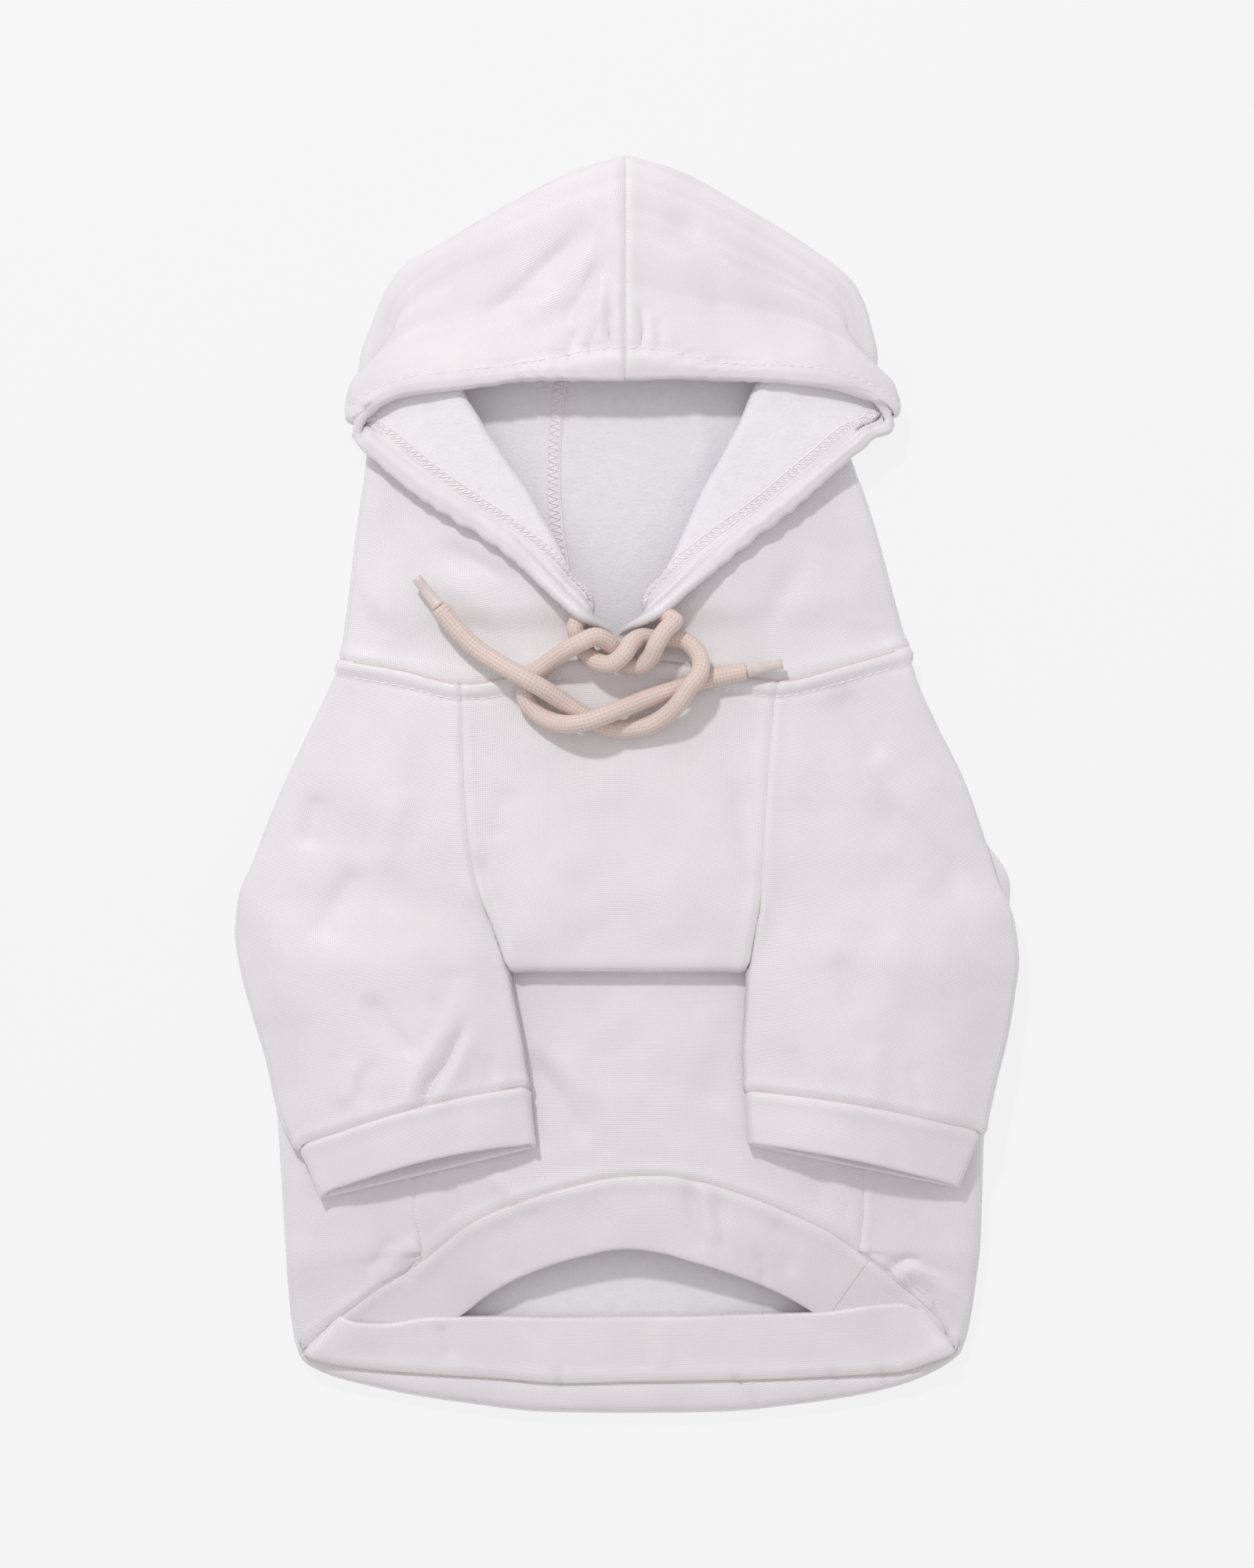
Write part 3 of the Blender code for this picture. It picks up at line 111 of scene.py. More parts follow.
# The hem, left to right in half body widths: the arc where the front of the band is sewn on, the seam of
# its back, and the lowest line of the roll below that seam, all in body lengths
HEM_ARC = {
    "x": (-0.957, -0.815, -0.721, -0.594, -0.452, -0.351, -0.183, -0.001, 0.100, 0.210, 0.318, 0.466, 0.576,
          0.679, 0.810, 0.861, 0.971),
    "down": (0.906, 0.858, 0.828, 0.792, 0.742, 0.721, 0.697, 0.681, 0.680, 0.688, 0.702, 0.728, 0.752,
             0.783, 0.828, 0.846, 0.908),
}
HEM_SEAM = {
    "x": (-0.957, -0.923, -0.856, -0.790, -0.587, -0.385, -0.183, -0.001, 0.364, 0.613, 0.797, 0.891, 0.971),
    "down": (0.906, 0.921, 0.933, 0.938, 0.946, 0.952, 0.959, 0.957, 0.954, 0.949, 0.943, 0.928, 0.908),
}
HEM_ROLL_LINE = {
    "x": (-0.978, -0.923, -0.803, -0.654, -0.452, -0.215, -0.001, 0.318, 0.539, 0.686, 0.817, 0.891, 0.957,
          0.994),
    "down": (0.910, 0.938, 0.956, 0.972, 0.986, 0.997, 0.998, 0.995, 0.984, 0.973, 0.959, 0.945, 0.925,
             0.904),
}
HEM_HEIGHT = {
    "down": (0.68, 0.74, 0.80, 0.86, 0.91, 0.96),
    "fold": (1.00, 1.00, 0.90, 0.72, 0.52, 0.45),
    "rise": (1.00, 0.98, 0.88, 0.70, 0.50, 0.42),
}

# The chest and belly panel through its deep fold: the rows of the chest, then the layer tucked under it
# with its two sides. down in body lengths, the sides in half body widths
CHEST_DOWN = (0.062, 0.111, 0.196, 0.263, 0.309, 0.350, 0.380, 0.397)
TUCK = {
    "down": (0.385, 0.360, 0.340),
    "left": (-0.338, -0.334, -0.330),
    "right": (0.334, 0.330, 0.326),
}
CHEST_FOLD_DOWN = 0.408    # body lengths, as are the next four
TUCK_FOLD_DOWN = 0.326
UNDERARM = 0.361
BELLY_LEVEL = 0.622        # the belly's rows run straight across down to here, then bend to the hem's arc
BELLY_SIDE_END = 0.790     # where the belly's side edges reach the arc
FOLD_INSET = 0.0012        # the chest's fold, from the sleeves beside it
UNDERARM_TAPER = 0.006     # how much wider the belly may be than its tuck, where the two meet
BELLY_GAP = 0.0004         # along the side seams
BELLY_POWER = 3.0          # how square the belly's cross-section is
CHEST_POWER = 3.2
SHOULDER_RISE = 1.2        # of the folded edge from the neck to the chest, in PLEATs
EDGE_SLOPE = 0.3           # of the cloth just outside the side folds
CHEST_FULL = 0.36          # body lengths down, where the chest has its full height

# The sleeves, from the neck seam to the cuff seam. outer and inner are the two edges of the flat sleeve:
# flare is from the neck's half width (0) to half the span (1), inner is in half body widths, each with its
# own down in body lengths. closed is 0 above the underarm, where the sleeve is open to the body, and 1 on
# the free tube
SLEEVE_LEFT = {
    "outer_down": (0.000, 0.041, 0.111, 0.193, 0.271, 0.315, 0.361, 0.414, 0.466, 0.525, 0.605, 0.645),
    "flare": (0.000, 0.119, 0.358, 0.627, 0.843, 0.970, 1.000, 0.940, 0.836, 0.709, 0.567, 0.418),
    "inner_down": (0.033, 0.062, 0.111, 0.196, 0.263, 0.309, 0.350, 0.400, 0.436, 0.476, 0.530, 0.564),
    "inner": (-0.486, -0.482, -0.479, -0.470, -0.454, -0.429, -0.390, -0.350, -0.334, -0.316, -0.295, -0.284),
    "closed": (0.0, 0.0, 0.0, 0.0, 0.0, 0.0, 0.5, 1.0, 1.0, 1.0, 1.0, 1.0),
}
SLEEVE_RIGHT = {
    "outer_down": (-0.017, 0.025, 0.081, 0.163, 0.233, 0.290, 0.346, 0.399, 0.440, 0.486, 0.559, 0.625),
    "flare": (0.000, 0.072, 0.239, 0.514, 0.681, 0.804, 0.957, 1.000, 0.964, 0.913, 0.790, 0.688),
    "inner_down": (0.029, 0.060, 0.111, 0.196, 0.263, 0.299, 0.350, 0.400, 0.436, 0.476, 0.518, 0.568),
    "inner": (0.438, 0.428, 0.417, 0.403, 0.394, 0.390, 0.372, 0.353, 0.348, 0.344, 0.339, 0.344),
    "closed": (0.0, 0.0, 0.0, 0.0, 0.0, 0.0, 0.5, 1.0, 1.0, 1.0, 1.0, 1.0),
}
SLEEVE_START = 0.0012       # spacing of a sleeve's first points beside the chest
SLEEVE_POWER = 2.2          # how square a sleeve's cross-section is
# Depth of a cuff at its outer and inner edge, in cuff depths, and its drift sideways
CUFF_DROP = {"left": (0.86, 1.02), "right": (0.94, 0.92)}
CUFF_DRIFT = {"left": (0.36, 0.11), "right": (-0.39, 0.05)}
CUFF_INSET = (0.0014, 0.0006)  # how far a cuff's seam sits inside the sleeve's outer and inner edge
CUFF_GAP = 0.0005

# The hood's ribs, from the neck seam to the crown. Each runs from the centre seam on the floor (back) out
# to the side fold (side), back over the front to the lapel's fold (fold), out to the casing (casing) and on
# to the face edge (edge); on the crown the last three lie on the flap. x in half hood widths, up in hood
# lengths
HOOD_LEFT = (
    # back, side x, up, fold x, up, casing x, up, edge x, up
    (0.003, -1.032, 0.000, -0.165, 0.003, -0.105, 0.003, -0.047, 0.000),
    (0.059, -1.020, 0.046, -0.150, 0.052, -0.098, 0.050, -0.047, 0.046),
    (0.113, -1.005, 0.105, -0.124, 0.110, -0.150, 0.101, -0.178, 0.082),
    (0.167, -0.993, 0.156, -0.209, 0.169, -0.244, 0.156, -0.286, 0.132),
    (0.221, -0.982, 0.214, -0.252, 0.221, -0.318, 0.203, -0.388, 0.183),
    (0.276, -0.968, 0.271, -0.303, 0.271, -0.418, 0.265, -0.508, 0.234),
    (0.330, -0.953, 0.327, -0.366, 0.333, -0.532, 0.311, -0.627, 0.274),
    (0.384, -0.940, 0.376, -0.434, 0.385, -0.679, 0.361, -0.755, 0.320),
    (0.438, -0.936, 0.410, -0.499, 0.438, -0.800, 0.407, -0.861, 0.367),
    (0.485, -0.946, 0.438, -0.553, 0.485, -0.890, 0.444, -0.930, 0.401),
    (0.531, -0.957, 0.469, -0.587, 0.515, -0.962, 0.461, -0.985, 0.435),
    (0.577, -0.965, 0.500, -0.613, 0.546, -1.012, 0.485, -0.912, 0.489),
    (0.624, -0.970, 0.539, -0.684, 0.580, -1.002, 0.526, -0.812, 0.517),
    (0.670, -0.958, 0.601, -0.798, 0.624, -0.965, 0.590, -0.670, 0.526),
    (0.717, -0.922, 0.655, -0.840, 0.647, -0.905, 0.636, -0.499, 0.537),
    (0.763, -0.888, 0.704, -0.850, 0.690, -0.795, 0.671, -0.343, 0.548),
    (0.810, -0.820, 0.766, -0.735, 0.738, -0.595, 0.690, -0.229, 0.548),
    (0.856, -0.650, 0.825, -0.570, 0.786, -0.400, 0.714, -0.149, 0.546),
    (0.902, -0.453, 0.888, -0.371, 0.825, -0.201, 0.701, -0.092, 0.546),
    (0.941, -0.170, 0.966, -0.144, 0.887, -0.092, 0.717, -0.047, 0.546),
    (0.970, -0.012, 0.991, -0.012, 0.918, -0.012, 0.717, -0.012, 0.546),
)
HOOD_RIGHT = (
    # back, side x, up, fold x, up, casing x, up, edge x, up
    (0.003, 1.015, 0.024, 0.100, 0.003, 0.030, 0.003, -0.043, 0.000),
    (0.059, 0.990, 0.062, 0.080, 0.054, 0.020, 0.051, -0.043, 0.046),
    (0.113, 0.962, 0.116, 0.061, 0.113, 0.090, 0.101, 0.118, 0.087),
    (0.167, 0.936, 0.170, 0.144, 0.172, 0.196, 0.156, 0.226, 0.135),
    (0.221, 0.911, 0.221, 0.186, 0.221, 0.275, 0.203, 0.334, 0.181),
    (0.276, 0.882, 0.276, 0.232, 0.276, 0.374, 0.255, 0.448, 0.231),
    (0.330, 0.851, 0.327, 0.277, 0.330, 0.500, 0.307, 0.576, 0.283),
    (0.384, 0.820, 0.373, 0.334, 0.385, 0.630, 0.361, 0.698, 0.342),
    (0.438, 0.803, 0.407, 0.385, 0.438, 0.744, 0.410, 0.809, 0.395),
    (0.485, 0.820, 0.438, 0.425, 0.481, 0.846, 0.450, 0.886, 0.430),
    (0.531, 0.842, 0.469, 0.448, 0.512, 0.938, 0.477, 0.960, 0.457),
    (0.577, 0.871, 0.500, 0.477, 0.546, 0.982, 0.497, 0.886, 0.509),
    (0.624, 0.899, 0.539, 0.568, 0.585, 0.966, 0.531, 0.781, 0.528),
    (0.670, 0.899, 0.601, 0.738, 0.624, 0.916, 0.590, 0.653, 0.539),
    (0.717, 0.877, 0.658, 0.795, 0.650, 0.860, 0.640, 0.496, 0.546),
    (0.763, 0.854, 0.701, 0.815, 0.688, 0.760, 0.670, 0.326, 0.548),
    (0.810, 0.818, 0.740, 0.735, 0.718, 0.595, 0.682, 0.212, 0.550),
    (0.856, 0.675, 0.805, 0.590, 0.770, 0.410, 0.704, 0.135, 0.550),
    (0.902, 0.450, 0.882, 0.368, 0.825, 0.169, 0.701, 0.078, 0.548),
    (0.941, 0.166, 0.966, 0.141, 0.887, 0.070, 0.717, 0.027, 0.546),
    (0.970, -0.003, 0.992, -0.008, 0.918, -0.008, 0.717, -0.008, 0.546),
)
# Heights of the same ribs: the side fold's width in PLEATs, how far the lapel is folded out (lapel) and the
# casing turned over (turn), and the middle of the cloth at fold, casing and edge in CROWN_HEIGHTs
HOOD_HEIGHTS = (
    # side, lapel, turn, fold z, casing z, edge z
    (2.46, 0.00, 0.00, 0.79, 0.85, 0.87),
    (2.10, 0.00, 0.00, 0.80, 0.84, 0.88),
    (1.90, 1.00, 0.00, 0.94, 1.34, 1.48),
    (1.75, 1.00, 0.00, 0.90, 1.26, 1.42),
    (1.60, 1.00, 0.00, 0.82, 1.10, 1.20),
    (1.50, 1.00, 0.00, 0.76, 0.98, 1.04),
    (1.40, 1.00, 0.00, 0.70, 0.90, 0.95),
    (1.30, 1.00, 0.00, 0.66, 0.84, 0.88),
    (1.20, 1.00, 0.00, 0.62, 0.76, 0.80),
    (1.10, 1.00, 0.15, 0.58, 0.66, 0.74),
    (1.05, 1.00, 0.50, 0.54, 0.52, 0.74),
    (1.00, 1.00, 1.00, 0.50, 0.46, 0.84),
    (1.00, 1.00, 1.00, 0.44, 0.44, 0.90),
    (1.00, 0.80, 0.90, 0.34, 0.40, 0.95),
    (1.00, 0.40, 0.50, 0.27, 0.36, 0.98),
    (1.10, 0.00, 0.00, 0.32, 0.45, 1.00),
    (1.20, 0.00, 0.00, 0.37, 0.60, 1.00),
    (1.20, 0.00, 0.00, 0.40, 0.70, 1.00),
    (1.20, 0.00, 0.00, 0.48, 0.80, 1.00),
    (1.20, 0.00, 0.00, 0.54, 0.86, 1.00),
    (1.20, 0.00, 0.00, 0.50, 0.86, 1.00),
)

CROWN_SEAM = -0.0075                 # centre seam at the crown, in half hood widths
# The same seam down the back layer, which lies a little askew: up in hood lengths, x in half hood widths
BACK_SEAM = {
    "up": (0.00, 0.18, 0.32, 0.47, 0.56, 0.70, 0.85, 0.97),
    "x": (-0.120, -0.205, -0.238, -0.232, -0.212, -0.140, -0.050, CROWN_SEAM),
}
TIP_SEAM = -0.045                    # the same at the tip of the face opening, above the chest
TIP_RIBS = 2                         # how many ribs from the neck meet at the tip, and have no casing
CASING_PROFILE = (0.15, 0.7, 1.0, 0.75)    # how full the casing is, on its way to the edge
FRONT_POWER = 1.6                    # how early the front rises from the side fold
CREASE_SPREAD = 0.35                 # spacing of points where nothing is folded, in LAPEL_FOLDs
CREASE_STEP = 1.6                    # the next point after them, in spreads
FOLD_ANGLES = tuple(math.radians(a) for a in (45, 90, 135))    # points round a fold

# The hem band, one closed strip: the seam's x, then the free edge's x and down, in half body widths and body
# lengths, and the heights of seam and free edge in BELLY_HEIGHTs
BAND_FRONT = (
    (-0.880, -0.790, 0.900, 0.42, 0.26),
    (-0.815, -0.700, 0.905, 0.52, 0.26),
    (-0.721, -0.600, 0.896, 0.66, 0.28),
    (-0.594, -0.486, 0.868, 0.80, 0.42),
    (-0.452, -0.400, 0.838, 0.93, 0.62),
    (-0.351, -0.316, 0.817, 0.96, 0.72),
    (-0.183, -0.165, 0.792, 0.98, 0.82),
    (-0.001, 0.000, 0.778, 1.00, 0.86),
    (0.100, 0.095, 0.783, 1.00, 0.86),
    (0.210, 0.190, 0.795, 0.98, 0.84),
    (0.318, 0.290, 0.809, 0.97, 0.80),
    (0.466, 0.400, 0.828, 0.93, 0.70),
    (0.576, 0.480, 0.846, 0.88, 0.58),
    (0.679, 0.560, 0.868, 0.80, 0.42),
    (0.810, 0.660, 0.896, 0.60, 0.28),
    (0.900, 0.780, 0.902, 0.46, 0.26),
)
BAND_BACK = (
    (0.891, 0.810, 0.850, 0.54, 0.62),
    (0.797, 0.710, 0.853, 0.46, 0.60),
    (0.613, 0.576, 0.862, 0.42, 0.50),
    (0.364, 0.364, 0.865, 0.40, 0.38),
    (0.180, 0.174, 0.868, 0.40, 0.34),
    (-0.001, 0.000, 0.869, 0.40, 0.33),
    (-0.183, -0.200, 0.870, 0.40, 0.34),
    (-0.385, -0.385, 0.868, 0.40, 0.38),
    (-0.587, -0.570, 0.869, 0.42, 0.50),
    (-0.790, -0.710, 0.877, 0.46, 0.60),
    (-0.870, -0.775, 0.876, 0.54, 0.62),
)
HEM_STEPS = 7              # rows of the back from the last level one to the hem
# The hem's ends, left and right, on the floor and on top, in half body widths
HEM_FLOOR_ENDS = (-0.935, 0.955)
HEM_TOP_ENDS = (0.940, 0.955)
HEM_FOLD_LEAST = 0.0012    # least radius of the side fold down there
# The fold of the band at each end of the mouth: seam x, free edge x and down
BAND_CORNER_RIGHT = (0.942, 0.862, 0.856)
BAND_CORNER_LEFT = (-0.927, -0.832, 0.866)
BAND_CORNER_HEIGHT = (0.50, 0.44)            # seam and free edge, in BELLY_HEIGHTs
BAND_SEAT = 0.0008                           # the back of the band, inside the roll
BAND_CORNER_RADIUS = 0.62                    # of the fold, in BAND_WALLs
BAND_CORNER_LIFT = 0.006                     # of the fold above the seam, in body lengths

# The drawstring's two free ends, each from the face edge to its tip: x and up in half hood widths from the
# neck line, and the centre's height in cord diameters above the floor
CORD_LEFT = (
    (-0.186, 0.107, 2.93), (-0.181, 0.087, 2.87), (-0.164, 0.058, 2.85), (-0.138, 0.016, 3.03),
    (-0.104, -0.010, 3.38), (-0.058, -0.016, 3.78), (-0.021, 0.007, 3.97), (0.004, 0.044, 3.78),
    (0.033, 0.075, 3.30), (0.073, 0.081, 2.93), (0.118, 0.075, 2.83), (0.164, 0.078, 2.83),
    (0.203, 0.070, 2.87), (0.243, 0.038, 3.00), (0.266, -0.010, 3.53), (0.255, -0.061, 3.97),
    (0.220, -0.104, 4.02), (0.189, -0.152, 3.87), (0.141, -0.201, 3.40), (0.073, -0.238, 3.05),
    (-0.010, -0.249, 3.03), (-0.078, -0.240, 3.03), (-0.138, -0.212, 3.02), (-0.186, -0.181, 3.02),
    (-0.240, -0.144, 3.27), (-0.297, -0.107, 3.73), (-0.354, -0.075, 3.95), (-0.414, -0.041, 3.77),
    (-0.477, -0.004, 3.27), (-0.536, 0.036, 2.87), (-0.593, 0.087, 2.73), (-0.636, 0.138, 2.63),
    (-0.676, 0.189, 2.57),
)
CORD_RIGHT = (
    (0.169, 0.135, 3.60), (0.147, 0.115, 3.78), (0.121, 0.081, 3.97), (0.098, 0.038, 3.83),
    (0.075, -0.004, 3.43), (0.027, -0.024, 3.03), (-0.018, -0.001, 2.87), (-0.047, 0.036, 3.03),
    (-0.081, 0.070, 3.40), (-0.121, 0.081, 3.78), (-0.164, 0.061, 3.93), (-0.203, 0.041, 3.75),
    (-0.246, 0.013, 3.28), (-0.292, -0.018, 2.92), (-0.331, -0.050, 2.87), (-0.360, -0.084, 2.90),
    (-0.368, -0.127, 2.92), (-0.343, -0.172, 2.95), (-0.292, -0.212, 3.10), (-0.223, -0.232, 3.57),
    (-0.158, -0.226, 4.02), (-0.110, -0.212, 4.12), (-0.058, -0.192, 4.00), (-0.001, -0.169, 3.63),
    (0.061, -0.144, 3.20), (0.127, -0.121, 2.95), (0.192, -0.101, 2.90), (0.255, -0.081, 2.88),
    (0.326, -0.061, 2.88), (0.383, -0.050, 2.88), (0.428, -0.041, 2.88),
)
CORD_POINT_STEP = 0.0048    # between points of the tube
AGLET_GAP = 0.0003

# How finely the cloth is drawn, and what is only on the drawn cloth
PITCH = 0.0014             # between the points of the drawn cloth
MOST_STEPS = 18            # between two points of the coarse grid
RIM_ROUND = 0.0020         # most that an open edge is rounded
SEAM_ROUND = 0.0003        # the same where two pieces are sewn together
RIM_ANGLES = tuple(math.radians(a) for a in (60, 30, 0, -30, -60))
RIM_SHARE = 0.45           # most that an open edge is rounded, in walls
RIM_SPREAD = 4.5           # over how many of its own widths the cloth beside a rounded edge gives way
# How far a cuff's seam and mouth are drawn up
CUFF_BOW = {"left": (0.0038, 0.0044), "right": (0.0028, 0.0024)}
CROWN_ROW = 12.2           # from this row and column of the hood's grid, the crown's flap is evened out
CROWN_COLUMN = 7.0
CROWN_ROUNDS = 150
CROWN_FADE = (1.5, 2.0)    # rows and columns over which this begins
CUFF_ROWS = 3.0            # rows of the cuff's grid
CUFF_TOP = (-1.17, 9.33)   # first column of a cuff's upper side, and how many columns it has
SLEEVE_TOP = (1.0, 8.0)    # the same for a sleeve
SLEEVE_BOW = (7.5, 3.5)    # first row of a sleeve that is drawn up, and over how many rows this begins
THREAD = 0.00034           # thread diameter
SEAM_LINE = 0.0007         # thickness of the thread that shows in a closed seam
SEAM_SUNK = 0.00025
SEAM_STEP = 0.0012
THREAD_SIDES = 6
STITCH_LIFT = (-0.25, 0.35, 0.35, -0.25)    # of a stitch's four points above the cloth, in thread diameters
STITCH = 0.0024            # stitch length
STITCH_SPACE = 0.0006
WELT_WIDTH = 0.0046        # the padded seam allowance under the neck seam
WELT_HEIGHT = 0.0011
WELT_START = 0.0012        # how much of the welt's arch lies beyond the seam
WELT_DIP = 0.0004          # of the stitching below it, and the dip's width
WELT_DIP_WIDTH = 0.0009
SEAM_PUFF = 0.00035        # how far cloth stands up beside a plain seam
SEAM_PUFF_AT = 0.0016
SEAM_PUFF_END = 0.006
CORNER_ROW = 11.6          # row of the hood's corner, and how many rows beside it have less relief
CORNER_ROWS = 1.3
CORNER_EVEN = 0.7          # how much of the channel's relief is left out there
CHANNEL_ROW = 1.5          # row of the hood's grid where the channel begins
CHANNEL_INSIDE = 0.5       # how much of its relief shows on the inside
CASING_ROLL = 0.0008       # how far the channel stands up, and how far its stitching is drawn in
CASING_DIP = 0.0005
CASING_DIP_WIDTH = 0.0010
GATHER = 0.45              # how uneven the gathers are, and their three wavelengths along the edge over 2 pi
GATHER_PERIODS = (0.00115, 0.0071, 0.017)
GATHER_BEYOND = 0.0004     # height of the gathers past the stitching, and over what length they fade
GATHER_FADE = 0.004
SCALLOP = 0.0011
CASING_STITCH = 0.0104     # from the face edge to the line that closes its channel
CASING_STITCHED = (0.10, 1.0)     # part of the face edge with the topstitch, from the neck
ZIGZAG_STITCHED = (0.10, 0.62)    # the same for the zigzag, and for the one on the centre seam
SERGE_STITCHED = (0.08, 0.64)
ZIGZAG_WIDTH = 0.0034
ZIGZAG_STEP = 0.0011
ZIGZAG_LANES = 5
ZIGZAG_SIDES = 5
ZIGZAG_LIFT = 0.4          # of the zigzag and of its straight rows above the cloth, in thread diameters
ROW_LIFT = 0.3
BACK_SERGE = 0.0024        # from the hood's centre seam to the middle of its overlocked edge, on the inside
BAND_JOIN = (0.0769, -0.1511)    # where the hem band's short seam starts on the arc
# The last of each cord inside the casing, up to where it comes out
CORD_INSIDE = {
    "left": ((-0.0146, 0.0546, 0.017), (-0.0151, 0.0531, 0.0172), (-0.0156, 0.0516, 0.0174),
             (-0.0161, 0.0501, 0.0175)),
    "right": ((0.0084, 0.0574, 0.0176), (0.0101, 0.0556, 0.0177), (0.0119, 0.0541, 0.0184),
              (0.0136, 0.0525, 0.0202)),
}
CORD_OVERLAP = 8           # how many of the drawn cord's points it runs along inside it
CORD_RIBS = 14             # columns of stitches round the cord
CORD_STITCH = 0.0012
CORD_RELIEF = 0.00018
CORD_RINGS = 0.0003
CORD_ROUND = 56
CORD_SLANT = 0.5           # how far a stitch slants, in stitches
STITCH_SHARE = 0.55        # how deep the stitches are, and the grooves between their columns, in CORD_RELIEFs
GROOVE_SHARE = 0.8
CORD_END = 0.0011          # length of a cord's rounded end, and its width there as a share of the cord's
CORD_END_WIDTH = 0.74
CORD_INSIDE_WIDTH = 0.98   # of the cord inside the casing, in CORD_DIAMETERs
# A tip from the cord to its far end: share of its length, and its width in AGLET_DIAMETERs
TIP_PROFILE = (
    (0.0, 0.90), (0.004, 0.97), (0.03, 1.00), (0.08, 1.00), (0.11, 0.95),
    (0.14, 0.90), (0.5, 0.82), (0.9, 0.76), (0.985, 0.74), (1.0, 0.66),
)
TIP_ROUND = 32
TIP_SQUASH = 0.86          # height of the pressed tip over its width

